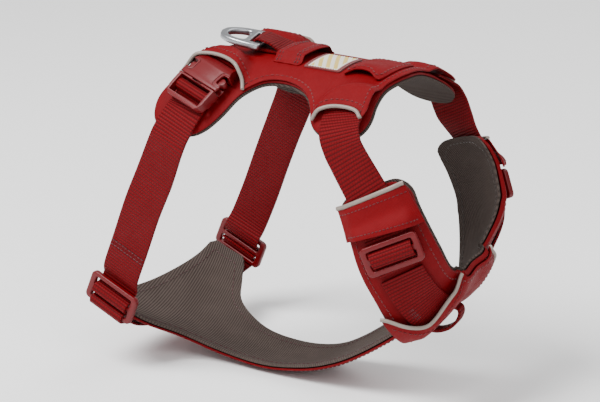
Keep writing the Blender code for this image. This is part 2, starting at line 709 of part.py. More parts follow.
def girth_frame():
    """The left girth slider's frame: across points forward, along points up the strap."""
    across = Vector((math.cos(GIRTH_LEAN), 0.0, -math.sin(GIRTH_LEAN)))
    along = Vector((math.sin(GIRTH_LEAN), 0.0, math.cos(GIRTH_LEAN)))
    return Vector(GIRTH_SLIDER_AT), across, along


def girth_point(a, b, c):
    """From the slider's own sizes (a forward, b up the strap, c away from the dog) to its place."""
    origin, across, along = girth_frame()
    return origin + across * a + along * b + Vector((0.0, 1.0, 0.0)) * c


GIRTH_BAR = 2.8
GIRTH_SLIDER_SIZE = (34.5, 18.0)


def build_girth():
    plastic = make_material("slider_plastic", PLASTIC_RED, 0.38)
    webbing = make_material("girth_webbing", DEEP_RED, 0.8)
    across = girth_frame()[1]
    buckle_across = -buckle_frame()[1]
    for side, mirror in SIDES:
        plate = slider_plate(*GIRTH_SLIDER_SIZE, GIRTH_BAR, 27.0)
        finish(f"girth_slider_{side}", bend(plate, girth_point), plastic, mirror=mirror)

        threaded = ((-5.9, 1.0), (-5.9, 2.6), (-6.4, 4.3), (-8.3, 5.1), (-10.4, 4.4), (-11.2, 2.6),
                    (-12.0, 0.7), (-14.0, -0.25))
        strap = [(buckle_point(0.0, b, c), buckle_across) for b, c in threaded]
        for x, s, h in ((-55.0, 58.0, 5.4), (-57.6, 65.0, 5.2), (-60.2, 72.0, 5.1), (-62.8, 79.0, 4.3)):
            down = (back(x, s + 0.5, h) - back(x, s - 0.5, h)).normalized()
            lean = BUCKLE_LEAN + (GIRTH_LEAN - BUCKLE_LEAN) * ramp(s, 55.0, 80.0)
            strap.append((back(x, s, h), Vector((math.cos(lean), 0.0, 0.0)) + down * math.sin(lean)))
        body = ((-70.5, 62.4, -61.5), (-79.0, 63.2, -81.0), (-88.0, 63.2, -104.0), (-96.0, 62.4, -123.0))
        strap += [(Vector(p), across) for p in body]
        strap += [(girth_point(0.0, b, c), across)
                  for b, c in ((10.4, -3.2), (7.4, -3.1), (5.2, -2.8), (3.7, -1.9), (2.9, -0.2), (2.6, 1.5),
                               (1.7, 2.8), (0.0, 3.1), (-1.7, 2.8), (-2.6, 1.5), (-2.8, -0.2), (-2.7, -1.6))]
        finish(f"girth_strap_{side}", ribbon(strap, WEBBING, WEBBING_THICK, lanes=2, step=6.0), webbing,
               mirror=mirror)


BELLY_HALF = ((-121.0, 0.0), (-121.0, 20.0), (-120.5, 40.0), (-119.5, 54.0), (-116.5, 57.0), (-100.0, 57.0),
              (-95.0, 55.0), (-89.5, 46.0), (-78.0, 31.0), (-54.0, 22.5), (-25.0, 21.5), (0.0, 21.5),
              (30.0, 21.0), (52.0, 20.0), (64.0, 20.0), (66.5, 17.0), (67.0, 0.0))


def build_belly():
    lining = make_material("belly_mesh", TAUPE, 0.9)
    shell = make_material("belly_fabric", RED, 0.75)
    webbing = make_material("wing_webbing", DEEP_RED, 0.8)
    outline = smooth_line(BELLY_HALF, 7.0)

    def layer(half, low, thick):
        plate = flat_plate([mirrored_outline(half)], 0.0, thick)
        return bend(tile(plate, 11.0, 9.0), lambda x, y, z: belly(x, y, low + z))

    finish("belly_lining", layer(outline, 0.0, 1.9), lining)
    finish("belly_shell", layer(inset(outline, 0.6), 1.9 + GAP, 1.6), shell)
    across = girth_frame()[1]
    for side, mirror in SIDES:
        path = [(belly(-106.0, y, 4.9), across) for y in (34.0, 40.0, 46.0, 51.0)]
        path += [(girth_point(0.0, b, c), across)
                 for b, c in ((-11.4, -2.4), (-10.7, 0.0), (-9.8, 1.9), (-7.6, 2.75), (-5.6, 2.1), (-4.9, 0.6),
                              (-4.8, -1.2))]
        finish(f"wing_loop_{side}", ribbon(path, WEBBING - 1.0, 1.2, lanes=2, step=4.0), webbing,
               mirror=mirror)


# ---- collar: neck straps, shoulder pads and chest -----------------------------------------------
Q_MOUTH = 27.0
MOUTH_REACH = 11.0
MOUTH_DIP = 2.0
MOUTH_PIPING_GAP = 1.3
Q_PAD_LOW = 19.0
Q_SLIDER = 68.0
Q_BAND = 79.0
Q_PAD_TOP = 98.0
SLEEVE_SLANT = 1.8
Q_STRAP_TOP = 150.0
COLLAR_PAD_LOW = LINING_THICK + 0.65
COLLAR_PAD_THICK = 2.95
COLLAR_PAD_TOP = COLLAR_PAD_LOW + COLLAR_PAD_THICK
STRAP_HEIGHT = COLLAR_PAD_TOP + GAP + WEBBING_THICK / 2.0
SLIDER_HEIGHT = STRAP_HEIGHT + WEBBING_THICK / 2.0 + GAP + 1.6


def collar_layer(outline, low, thick, tile_q=8.0, tile_w=10.0):
    plate = flat_plate([outline], 0.0, thick)
    return bend(tile(plate, tile_q, tile_w), lambda q, w, z: collar(q, w, low + z))


def pad_outline(shrink):
    """Left shoulder pad in (q, w): narrow round top, wider at the chest."""
    half_low, half_mid, half_top = 25.5 - shrink, 23.5 - shrink, 22.0 - shrink
    low, top = Q_PAD_LOW + shrink, Q_PAD_TOP + 4.5 - shrink
    line = [Vector((low, -half_low)), Vector((40.0, 0.6 - half_mid)), Vector((62.0, -half_mid)),
            Vector((84.0, -half_top)), Vector((top - 5.0, -half_top)), Vector((top, -half_top + 5.0)),
            Vector((top + 0.9, -8.0)), Vector((top - 0.9, 8.0)), Vector((top - 3.0, half_top - 5.0)),
            Vector((top - 9.0, half_top)), Vector((84.0, half_top)), Vector((62.0, half_mid)),
            Vector((40.0, half_mid - 0.6)), Vector((low, half_low))]
    return smooth_line(line, 7.0)


def mouth_place(w):
    """How far round the collar the chest cover's mouth lies: further up the pad at its lower corner."""
    return Q_MOUTH + MOUTH_REACH * ramp(w, -6.0, -27.0) - MOUTH_DIP * ramp(abs(w + 4.0), 18.0, 0.0)


def chest_cover_low(q, w):
    """Height of the chest cover's underside: down on the pad at its edges, open over the webbing."""
    opening = 1.2 + 2.3 * ramp(abs(q), 6.0, 24.0)
    return COLLAR_PAD_TOP + 3.0 * GAP + opening * ramp(abs(w), 25.5, 15.0)


def slider_frame_at(q):
    centre, cross, normal = collar_frame(q)
    return centre + normal * SLIDER_HEIGHT, cross, normal.cross(cross), normal


def neck_slider_point(a, b, c):
    origin, across, along, outward = slider_frame_at(Q_SLIDER)
    return origin + across * a + along * b + outward * c


def build_collar():
    lining = make_material("collar_mesh", TAUPE, 0.9)
    padding = make_material("collar_pad", RED, 0.75)
    shell = make_material("collar_fabric", RED, 0.7)
    webbing = make_material("neck_webbing", DEEP_RED, 0.8)
    plastic = make_material("neck_slider_plastic", PLASTIC_RED, 0.38)
    trim = make_material("collar_piping", GREY_PIPING, 0.5)
    for side, mirror in SIDES:
        finish(f"shoulder_lining_{side}", collar_layer(pad_outline(0.0), 0.0, LINING_THICK), lining, mirror=mirror)
        finish(f"shoulder_pad_{side}", collar_layer(pad_outline(0.9), COLLAR_PAD_LOW, COLLAR_PAD_THICK), padding,
               mirror=mirror)
        strap = []
        q = Q_SLIDER - 9.0
        while q < Q_STRAP_TOP:
            centre, cross, normal = collar_frame(q)
            lift = STRAP_HEIGHT - 0.7 * ramp(q, 106.0, 122.0)
            strap.append((centre + normal * lift, cross))
            q += 6.0
        finish(f"neck_strap_{side}", ribbon(strap, WEBBING, WEBBING_THICK, lanes=2, step=7.0), webbing,
               mirror=mirror)

        sleeve_low = STRAP_HEIGHT + WEBBING_THICK / 2.0 + GAP + 0.8
        outline = [Vector((Q_BAND + SLEEVE_SLANT, -22.8)), Vector((Q_BAND, 0.0)),
                   Vector((Q_BAND - SLEEVE_SLANT, 22.8)), Vector((88.0, 21.8)),
                   Vector((Q_PAD_TOP - SLEEVE_SLANT, 21.0)), Vector((Q_PAD_TOP + SLEEVE_SLANT, -21.0)),
                   Vector((88.0, -22.0))]

        def sleeve_surface(q, w, z):
            over_slider = 3.4 * ramp(q, Q_BAND + 10.0, Q_BAND + 1.0) * ramp(abs(w), 22.0, 17.0)
            drop = 2.0 * ramp(abs(w), 14.5, 21.0)
            return collar(q, w, sleeve_low + z + over_slider - drop)

        sleeve = bend(tile(flat_plate([outline], 0.0, 1.2), 5.0, 6.0), sleeve_surface)
        finish(f"pad_sleeve_{side}", sleeve, shell, mirror=mirror)
        points = [collar(Q_PAD_TOP - SLEEVE_SLANT * w / 21.0 + PIPING_RADIUS + GAP, w,
                         sleeve_low + 0.9 - 2.0 * ramp(abs(w), 14.5, 21.0)) for w in range(-21, 22, 3)]
        finish(f"sleeve_piping_{side}", cord(points, PIPING_RADIUS), trim, mirror=mirror)

        plate = slider_plate(33.5, 17.0, 3.0, 26.5)
        finish(f"neck_slider_{side}", bend(plate, neck_slider_point), plastic,
               pivot=slider_frame_at(Q_SLIDER)[0], mirror=mirror)
        across = slider_frame_at(Q_SLIDER)[1]
        bight = [(neck_slider_point(0.0, b, c), across)
                 for b, c in ((-4.0, -1.0), (-4.0, 0.6), (-3.0, 2.3), (0.0, 2.9), (3.0, 2.3), (4.0, 0.6),
                              (4.0, -1.0))]
        finish(f"slider_bight_{side}", ribbon(bight, WEBBING, 1.2, lanes=1, step=2.0), webbing, mirror=mirror)

        run = []
        for q in (57.0, 50.0, 43.0, 36.0, 29.0, 22.0, 17.0):
            centre, cross, normal = collar_frame(q)
            run.append((centre + normal * (STRAP_HEIGHT + 0.3) - cross * 0.8, cross))
        finish(f"chest_webbing_{side}", ribbon(run, WEBBING, WEBBING_THICK, lanes=2, step=7.0), webbing,
               mirror=mirror)
        points = [collar(mouth_place(w) + PIPING_RADIUS + GAP + MOUTH_PIPING_GAP, w,
                         chest_cover_low(mouth_place(w), w) + PIPING_RADIUS) for w in range(-25, 26, 2)]
        finish(f"mouth_piping_{side}", cord(points, PIPING_RADIUS), trim, mirror=mirror)

    low = Q_PAD_LOW - GAP
    centre = smooth_line([(-low, -25.5), (0.0, -24.0), (low, -25.5)], 6.0)
    top = smooth_line([(low, 25.5), (0.0, 24.0), (-low, 25.5)], 6.0)
    body = centre + top
    finish("chest_lining", collar_layer(body, 0.0, LINING_THICK), lining)
    finish("chest_pad", collar_layer(body, COLLAR_PAD_LOW, COLLAR_PAD_THICK), padding)
    left_mouth = [Vector((mouth_place(w), w)) for w in (-25.0, -19.0, -13.0, -7.0, -1.0, 5.0, 11.0, 17.0, 26.0)]
    right_mouth = [Vector((-p.x, p.y)) for p in reversed(left_mouth)]
    cover = left_mouth + smooth_line([(20.0, 25.0), (0.0, 24.5), (-20.0, 25.0)], 6.0)
    cover += right_mouth + smooth_line([(-27.0, -25.4), (-12.0, -25.0), (12.0, -25.0), (27.0, -25.4)], 6.0)

    def chest_surface(q, w, z):
        return collar(q, w, chest_cover_low(q, w) + z)

    finish("chest_cover", bend(tile(flat_plate([cover], 0.0, 1.5), 8.0, 8.0), chest_surface), shell)

    front = collar(0.0, -3.0, chest_cover_low(0.0, -3.0) + 1.5 + GAP)
    lower = collar(0.0, -24.5, chest_cover_low(0.0, -24.5) + 1.5 + GAP)
    out = collar_frame(0.0)[2]
    span = lower - front
    arc = [front + span * share + out * lift
           for share, lift in ((0.0, 1.0), (-0.05, 3.2), (0.04, 6.0), (0.28, 8.4), (0.58, 8.8), (0.88, 6.8),
                               (1.05, 3.6), (1.0, 1.0))]
    loop = [(p, Vector((0.0, 1.0, 0.0))) for p in arc]
    finish("front_loop", ribbon(loop, 6.0, 1.8, lanes=1, step=4.0), webbing, pivot=(front + lower) / 2.0)


def main():
    build_saddle()
    build_leash_ring()
    build_ridge()
    build_buckles()
    build_girth()
    build_belly()
    build_collar()


main()
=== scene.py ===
"""Front-clip dog harness: the finished surfaces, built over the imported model.

Lengths below are in millimetres and every mesh is scaled to metres as it is made. Each soft piece is a
flat pattern wrapped over the same body surfaces as the model, with its flat place kept as a UV map so
that weaves, ribs and stitches follow the cloth.
"""

import math

import bmesh
import bpy
import numpy as np
from mathutils import Matrix, Vector


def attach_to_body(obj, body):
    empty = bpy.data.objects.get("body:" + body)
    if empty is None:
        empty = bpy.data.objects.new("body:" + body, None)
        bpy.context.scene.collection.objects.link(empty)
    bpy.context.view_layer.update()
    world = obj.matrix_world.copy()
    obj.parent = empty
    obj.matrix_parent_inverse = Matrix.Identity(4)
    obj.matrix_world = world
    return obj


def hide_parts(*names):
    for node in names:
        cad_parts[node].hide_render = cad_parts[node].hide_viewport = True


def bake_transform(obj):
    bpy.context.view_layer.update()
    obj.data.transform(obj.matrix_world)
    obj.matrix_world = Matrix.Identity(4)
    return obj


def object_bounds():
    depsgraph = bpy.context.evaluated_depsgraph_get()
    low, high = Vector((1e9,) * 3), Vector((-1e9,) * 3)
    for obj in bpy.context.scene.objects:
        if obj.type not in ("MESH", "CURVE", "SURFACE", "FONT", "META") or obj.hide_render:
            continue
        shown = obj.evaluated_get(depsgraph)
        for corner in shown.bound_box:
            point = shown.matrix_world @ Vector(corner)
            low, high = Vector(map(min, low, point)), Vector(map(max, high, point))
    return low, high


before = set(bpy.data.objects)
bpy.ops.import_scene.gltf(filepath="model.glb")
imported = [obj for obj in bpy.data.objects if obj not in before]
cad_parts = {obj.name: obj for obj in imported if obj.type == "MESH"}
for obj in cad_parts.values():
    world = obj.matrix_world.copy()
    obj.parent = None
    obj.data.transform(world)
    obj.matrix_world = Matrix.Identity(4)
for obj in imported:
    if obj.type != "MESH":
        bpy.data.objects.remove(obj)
START_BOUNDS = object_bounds()

MM = 0.001
GAP = 0.3

# ---- driving sizes ------------------------------------------------------------------------------
WEBBING = 25.0
WEBBING_THICK = 1.4
BACK_RADIUS = 62.0
FLANK_RADIUS = 55.0
RIDGE_ANGLE = math.radians(46.0)

LINING_THICK = 1.5
PAD_THICK = 1.8
SHELL_THICK = 1.2
PIPING_RADIUS = 1.1

PAD_LOW = LINING_THICK + GAP
PAD_TOP = PAD_LOW + PAD_THICK
COVER_LOW = PAD_TOP + GAP

BUCKLE_AT = (-49.7, 40.9)
BUCKLE_LEAN = math.radians(19.0)
BUCKLE_BEND = 75.0
BUCKLE_HEIGHT = 5.0
BUCKLE_HALF_WIDTH = 15.6
BUCKLE_THICK = 6.6
BUCKLE_WALL = 1.3
RECEIVER_LOW = -3.0
RECEIVER_TOP = 17.0
PLUG_LOW = -17.0

GIRTH_SLIDER_AT = (-102.5, 63.0, -139.3)
GIRTH_LEAN = math.radians(22.5)

RING_BAR_AT = (-38.5, -2.5, 9.2)
RING_YAW = math.radians(20.0)
RING_TILT = math.radians(9.0)

ROLL_SHIFT = 12.0
ROLL_DIRECTION = Vector((-0.49, 0.0, 0.87))
LEFT_SLACK = Vector((3.0, 5.0, 0.0))


# ---- smooth lines -------------------------------------------------------------------------------
def spline_point(p0, p1, p2, p3, t):
    """Catmull-Rom point a share t of the way from p1 to p2."""
    return 0.5 * (p1 * 2 + (p2 - p0) * t + (p0 * 2 - p1 * 5 + p2 * 4 - p3) * t * t
                  + (p1 * 3 - p0 - p2 * 3 + p3) * t ** 3)


def smooth_line(points, step=4.0, closed=False):
    """Catmull-Rom curve through the points, as a list of vectors about one step apart."""
    given = [Vector(p) for p in points]
    size = len(given)
    line = []
    spans = size if closed else size - 1
    for i in range(spans):
        if closed:
            p0, p1, p2, p3 = (given[(i + k) % size] for k in (-1, 0, 1, 2))
        else:
            p1, p2 = given[i], given[i + 1]
            p0 = given[i - 1] if i else p1 * 2 - p2
            p3 = given[i + 2] if i + 2 < size else p2 * 2 - p1
        count = max(1, round((p2 - p1).length / step))
        line += [spline_point(p0, p1, p2, p3, k / count) for k in range(count)]
    if not closed:
        line.append(given[-1])
    return line


def headings(line):
    """Unit direction of travel at each point of a line."""
    last = len(line) - 1
    return [(line[min(i + 1, last)] - line[max(i - 1, 0)]).normalized() for i in range(last + 1)]


def beside(line, reach):
    """The same flat line moved aside to the left of its travel by reach."""
    return [at + Vector((-run.y, run.x)) * reach for at, run in zip(line, headings(line))]


def mirrored_outline(half):
    """Closes a half outline (given from the centre line round to the centre line) across y = 0."""
    other = [Vector((p.x, -p.y)) for p in reversed(half) if abs(p.y) > 1e-6]
    return list(half) + other


def rounded_box(x0, x1, y0, y1, radius, corner_steps=3):
    """Rectangle outline with round corners."""
    line = []
    corners = ((x1, y1, 0), (x0, y1, 90), (x0, y0, 180), (x1, y0, 270))
    for cx, cy, start in corners:
        centre_x = cx - radius if cx == x1 else cx + radius
        centre_y = cy - radius if cy == y1 else cy + radius
        for k in range(corner_steps + 1):
            angle = math.radians(start + 90.0 * k / corner_steps)
            line.append(Vector((centre_x + radius * math.cos(angle), centre_y + radius * math.sin(angle))))
    return line


def ramp(value, low, high):
    """0 below low, 1 above high, smooth in between; low may be above high."""
    t = min(1.0, max(0.0, (value - low) / (high - low)))
    return t * t * (3.0 - 2.0 * t)


# ---- the dog's body, as three surfaces ----------------------------------------------------------
def back(x, s, h):
    """Point over the back: x along the dog, s the arc length down from the ridge, h off the skin."""
    side = -1.0 if s < 0 else 1.0
    s = abs(s)
    ridge_arc = BACK_RADIUS * RIDGE_ANGLE
    ridge_y = BACK_RADIUS * math.sin(RIDGE_ANGLE)
    ridge_z = BACK_RADIUS * (math.cos(RIDGE_ANGLE) - 1.0)
    if s <= ridge_arc:
        angle = s / BACK_RADIUS
        y = BACK_RADIUS * math.sin(angle)
        z = BACK_RADIUS * (math.cos(angle) - 1.0)
    else:
        angle = RIDGE_ANGLE + (s - ridge_arc) / FLANK_RADIUS
        y = ridge_y + FLANK_RADIUS * (math.sin(angle) - math.sin(RIDGE_ANGLE))
        z = ridge_z + FLANK_RADIUS * (math.cos(angle) - math.cos(RIDGE_ANGLE))
    return Vector((x, side * (y + h * math.sin(angle)), z + h * math.cos(angle)))


# Stations round the collar's left half: centre of the band on the skin, and the direction across it
# towards the neck. The first is the chest's centre, the last lies under the saddle's front flap.
COLLAR_STATIONS = (
    ((86.0, 0.0, -115.0), (0.65, 0.0, 0.76)),
    ((87.0, 26.0, -111.5), (0.53, -0.58, 0.62)),
    ((79.0, 42.5, -84.0), (0.86, -0.42, 0.28)),
    ((64.0, 45.0, -51.0), (0.90, -0.24, 0.36)),
    ((50.0, 49.2, -24.4), (0.97, -0.05, 0.22)),
    ((45.5, 40.4, -15.0), (0.98, -0.10, 0.17)),
    ((41.5, 25.2, -5.4), (0.97, -0.18, 0.10)),
)


def collar_table():
    """Centre, cross direction and outward normal at each millimetre of arc from the chest's centre."""
    centres = [Vector(c) for c, _ in COLLAR_STATIONS]
    crosses = [Vector(w) for _, w in COLLAR_STATIONS]
    mirror = Vector((1.0, -1.0, 1.0))
    centres.insert(0, centres[1] * mirror)
    crosses.insert(0, crosses[1] * mirror)
    line, across = [], []
    for i in range(1, len(centres) - 1):
        p1, p2 = centres[i], centres[i + 1]
        p0 = centres[i - 1]
        p3 = centres[i + 2] if i + 2 < len(centres) else p2 * 2 - p1
        w1, w2 = crosses[i], crosses[i + 1]
        for k in range(40):
            t = k / 40
            line.append(spline_point(p0, p1, p2, p3, t))
            across.append(w1.lerp(w2, ramp(t, -0.2, 1.2)))
    points = np.array([tuple(p) for p in line])
    lengths = np.r_[0.0, np.cumsum(np.linalg.norm(np.diff(points, axis=0), axis=1))]
    even = np.arange(0.0, lengths[-1], 1.0)
    centre = np.stack([np.interp(even, lengths, points[:, i]) for i in range(3)], axis=1)
    cross = np.stack([np.interp(even, lengths, np.array([tuple(w) for w in across])[:, i])
                      for i in range(3)], axis=1)
    along = np.gradient(centre, axis=0)
    along[0] = (0.0, 1.0, 0.0)
    along /= np.linalg.norm(along, axis=1)[:, None]
    cross -= (cross * along).sum(axis=1)[:, None] * along
    cross /= np.linalg.norm(cross, axis=1)[:, None]
    return centre, cross, np.cross(cross, -along)


COLLAR_CENTRE, COLLAR_CROSS, COLLAR_NORMAL = collar_table()
COLLAR_LENGTH = len(COLLAR_CENTRE) - 1.0
CROWN_RADIUS = 110.0


def collar_frame(q):
    """Centre, cross direction and normal at signed arc q; q is positive on the dog's left."""
    side = -1.0 if q < 0 else 1.0
    place = min(abs(q), COLLAR_LENGTH - 0.001)
    i = int(place)
    t = place - i
    mirror = Vector((1.0, side, 1.0))
    found = []
    for table in (COLLAR_CENTRE, COLLAR_CROSS, COLLAR_NORMAL):
        found.append(Vector(table[i] * (1.0 - t) + table[i + 1] * t) * mirror)
    return found


def collar(q, w, h):
    """Point on the collar: q round it, w across it towards the neck, h off the skin."""
    centre, cross, normal = collar_frame(q)
    crown = ramp(abs(q), 118.0, 96.0) * w * w / (2.0 * CROWN_RADIUS)
    return centre + cross * w + normal * (h - crown)


BELLY_LINE = ((-124.0, -147.0), (-100.0, -160.5), (-78.0, -169.5), (-53.0, -176.0), (-25.0, -178.0),
              (0.0, -174.0), (20.0, -165.5), (40.0, -153.0), (58.0, -140.5), (74.0, -128.0))
BELLY_POINTS = smooth_line([(x, z) for x, z in BELLY_LINE], step=2.0)
BELLY_X = [p.x for p in BELLY_POINTS]
BELLY_Z = [p.y for p in BELLY_POINTS]


def belly_skin(x, y):
    curl = 0.0023 + 0.0037 * ramp(x, -118.0, -66.0)
    wing = 10.0 * (abs(y) / 62.0) ** 8
    return Vector((x, y, float(np.interp(x, BELLY_X, BELLY_Z)) + curl * y * y + wing))


def belly(x, y, h):
    """Point under the belly, from its place in plan; h is outward, that is downward."""
    here = belly_skin(x, y)
    along = belly_skin(x + 1.0, y) - belly_skin(x - 1.0, y)
    across = belly_skin(x, y + 1.0) - belly_skin(x, y - 1.0)
    return here - along.cross(across).normalized() * h


def worn(point):
    """The left neck strap is set shorter, which lifts the chest's left side and drops its right."""
    reach = ramp(-point.z, 22.0, 66.0) * ramp(point.x, -10.0, 45.0)
    side = max(-1.0, min(1.0, point.y / 45.0))
    side = side * (1.5 - 0.5 * side * side)
    slack = ramp(-point.z, 34.0, 58.0) * ramp(-point.z, 122.0, 84.0) * ramp(point.y, 20.0, 40.0)
    roll = ROLL_DIRECTION * (ROLL_SHIFT * 0.5 * side * reach)
    return point + roll + LEFT_SLACK * (slack * ramp(point.x, 0.0, 40.0))


# ---- mesh builders ------------------------------------------------------------------------------
def linked(name, data):
    """A new object in the scene."""
    obj = bpy.data.objects.new(name, data)
    bpy.context.scene.collection.objects.link(obj)
    return obj


def mesh_from(name, bm):
    """A new mesh from a bmesh, which is freed."""
    mesh = bpy.data.meshes.new(name)
    bm.to_mesh(mesh)
    bm.free()
    return mesh


def finished_mesh(obj):
    """The object's mesh with its modifiers applied."""
    bpy.context.view_layer.update()
    graph = bpy.context.evaluated_depsgraph_get()
    return bpy.data.meshes.new_from_object(obj.evaluated_get(graph))


def mesh_of_object(obj):
    """The finished mesh of a helper object, welded, as a bmesh; the helper is removed."""
    mesh = finished_mesh(obj)
    mesh.transform(obj.matrix_world)
    bm = bmesh.new()
    bm.from_mesh(mesh)
    bpy.data.meshes.remove(mesh)
    bpy.data.objects.remove(obj, do_unlink=True)
    bmesh.ops.remove_doubles(bm, verts=bm.verts, dist=1e-5)
    return bm


def flat_plate(loops, z0, z1, bevel=0.0, bevel_steps=1):
    """Outlines (the first outside, the rest holes) filled and given a thickness, from z0 to z1."""
    data = bpy.data.curves.new("outline", "CURVE")
    data.dimensions = "2D"
    data.fill_mode = "BOTH"
    data.extrude = (z1 - z0) / 2.0 - bevel
    data.bevel_depth = bevel
    data.offset = -bevel
    data.bevel_resolution = bevel_steps - 1
    for loop in loops:
        spline = data.splines.new("POLY")
        spline.points.add(len(loop) - 1)
        for point, at in zip(spline.points, loop):
            point.co = (at[0], at[1], 0.0, 1.0)
        spline.use_cyclic_u = True
    obj = linked("outline", data)
    obj.location.z = (z0 + z1) / 2.0
    return mesh_of_object(obj)


def tile(bm, step_x=0.0, step_y=0.0):
    """Merges flat faces, then slices the mesh on a regular grid so that it can be bent smoothly."""
    bmesh.ops.dissolve_limit(bm, angle_limit=0.01, verts=bm.verts, edges=bm.edges)
    for axis, step in ((0, step_x), (1, step_y)):
        if not step:
            continue
        low = min(v.co[axis] for v in bm.verts)
        high = max(v.co[axis] for v in bm.verts)
        normal = Vector((axis == 0, axis == 1, 0))
        for k in range(math.ceil(low / step), math.floor(high / step) + 1):
            if k * step - low < 0.4 or high - k * step < 0.4:
                continue
            cut = bmesh.ops.bisect_plane
            cut(bm, geom=bm.verts[:] + bm.edges[:] + bm.faces[:], dist=1e-4, plane_co=normal * (k * step),
                plane_no=normal)
    return bm


def bend(bm, surface):
    """Moves every vertex through surface(x, y, z), and keeps its flat place for the weave."""
    flat = bm.verts.layers.float_vector.get("flat") or bm.verts.layers.float_vector.new("flat")
    for vert in bm.verts:
        vert[flat] = vert.co
        vert.co = surface(*vert.co)
    return bm


def boolean(bm, tool_bm):
    """Cuts one bmesh out of another, exactly."""
    pair = []
    for source, name in ((bm, "body"), (tool_bm, "tool")):
        bmesh.ops.recalc_face_normals(source, faces=source.faces)
        pair.append(linked(name, mesh_from(name, source)))
    body, tool = pair
    modifier = body.modifiers.new("cut", "BOOLEAN")
    modifier.object = tool
    modifier.operation = "DIFFERENCE"
    modifier.solver = "EXACT"
    result = mesh_of_object(body)
    bpy.data.objects.remove(tool, do_unlink=True)
    return result


def block(x0, x1, y0, y1, z0, z1):
    """Box between two corners."""
    bm = bmesh.new()
    bmesh.ops.create_cube(bm, size=1.0)
    size = Vector((x1 - x0, y1 - y0, z1 - z0))
    middle = Vector((x0 + x1, y0 + y1, z0 + z1)) / 2.0
    bmesh.ops.transform(bm, matrix=Matrix.Translation(middle) @ Matrix.Diagonal((*size, 1.0)), verts=bm.verts)
    return bm


def ribbon(stations, width, thick, lanes=2, step=5.0):
    """Webbing along a smooth path. A station is a point and the direction across the webbing."""
    points = smooth_line([p for p, _ in stations], step)
    marks = smooth_line([(*w, 0.0) for _, w in stations], 1e9)
    knots = [Vector(p) for p, _ in stations]
    count = len(points)
    across = []
    for i in range(len(knots) - 1):
        share = max(1, round((knots[i + 1] - knots[i]).length / step))
        for k in range(share):
            across.append(marks[i].lerp(marks[i + 1], k / share).xyz.normalized())
    across.append(marks[-1].xyz.normalized())
    bm = bmesh.new()
    bmesh.ops.create_grid(bm, x_segments=count - 1, y_segments=lanes, size=0.5)
    flat = bm.verts.layers.float_vector.new("flat")
    run = [0.0]
    for i in range(1, count):
        run.append(run[-1] + (points[i] - points[i - 1]).length)
    forward = headings(points)
    for vert in bm.verts:
        i = round((vert.co.x + 0.5) * (count - 1))
        aside = width * vert.co.y
        vert[flat] = (run[i], aside, 0.0)
        side = (across[i] - forward[i] * across[i].dot(forward[i])).normalized()
        vert.co = points[i] + side * aside
    bm.normal_update()
    return thicken(bm, thick)


def thicken(bm, thick):
    """Gives an open sheet a thickness, centred on it."""
    obj = linked("sheet", mesh_from("sheet", bm))
    modifier = obj.modifiers.new("wall", "SOLIDIFY")
    modifier.thickness = thick
    modifier.offset = 0.0
    return mesh_of_object(obj)


def cord(points, radius, resolution=1):
    """Round cord with filled caps through the points."""
    data = bpy.data.curves.new("cord", "CURVE")
    data.dimensions = "3D"
    data.bevel_depth = radius
    data.bevel_resolution = resolution
    data.use_fill_caps = True
    spline = data.splines.new("POLY")
    spline.points.add(len(points) - 1)
    for point, at in zip(spline.points, points):
        point.co = (*at, 1.0)
    return mesh_of_object(linked("cord", data))


# ---- saddle -------------------------------------------------------------------------------------
SADDLE_HALF = ((-57.0, 0.0), (-62.0, 10.0), (-70.0, 22.0), (-73.0, 37.0), (-77.0, 47.0), (-78.5, 57.0),
               (-75.0, 66.0), (-64.0, 71.0), (-50.0, 71.0), (-40.0, 66.0), (-32.0, 56.0), (-26.0, 42.5),
               (-17.0, 32.5), (-6.0, 30.0), (5.0, 31.5), (14.0, 36.0), (20.5, 43.0), (25.0, 51.0),
               (32.0, 56.5), (43.0, 58.5), (53.0, 57.0), (59.5, 51.0), (61.0, 43.0), (58.5, 32.0),
               (57.0, 20.0), (58.5, 9.0), (59.5, 0.0))
COVER_REAR = ((-57.0, 0.0), (-62.0, 10.0), (-69.5, 22.0), (-72.0, 36.0))
REAR_ARCH = ((-72.0, 36.0), (-67.0, 30.0), (-60.0, 26.5), (-52.0, 25.5), (-43.0, 26.5), (-34.0, 29.5),
             (-27.5, 34.0), (-24.5, 39.5))
COVER_WAIST = ((-24.5, 39.5), (-16.0, 31.5), (-6.0, 29.0), (5.0, 30.5), (14.5, 35.0), (21.5, 42.5),
               (26.5, 50.0))
FRONT_ARCH = ((26.5, 50.0), (30.0, 45.5), (37.0, 42.0), (46.0, 41.0), (54.0, 42.0), (59.0, 45.5))
COVER_FRONT = ((59.0, 45.5), (59.8, 41.5), (57.5, 32.0), (56.0, 20.0), (57.5, 9.0), (58.5, 0.0))

# Humps: place (x, s), height, radius of the flat top and radius where the rise starts.
REAR_RISE = (-48.0, 35.0, 8.1, 15.0, 23.0)
FRONT_RISE = (47.0, 43.0, 4.1, 15.5, 23.0)
PRESS = (-50.0, 40.0, 0.9, 15.0, 28.0)
PLUG_PRESS = (-72.6, 60.5, 0.5, 5.0, 11.0)


def hump(x, s, spot):
    """Round hump centred at x and both plus and minus s."""
    at_x, at_s, height, top, foot = spot
    return height * ramp(math.hypot(x - at_x, abs(s) - at_s), foot, top)


def cover_rise(x, s):
    """How far the cover stands up off the pad, over the buckle and the neck strap."""
    return hump(x, s, REAR_RISE) + hump(x, s, FRONT_RISE)


def inset(line, amount):
    """Moves a half outline inward by an amount, keeping its ends on the centre line."""
    moved = []
    for i, point in enumerate(line):
        before = line[max(i - 1, 0)]
        after = line[min(i + 1, len(line) - 1)]
        run = (after - before).normalized()
        shift = Vector((run.y, -run.x)) * amount
        moved.append(point + shift)
    moved[0].y = 0.0
    moved[-1].y = 0.0
    return moved


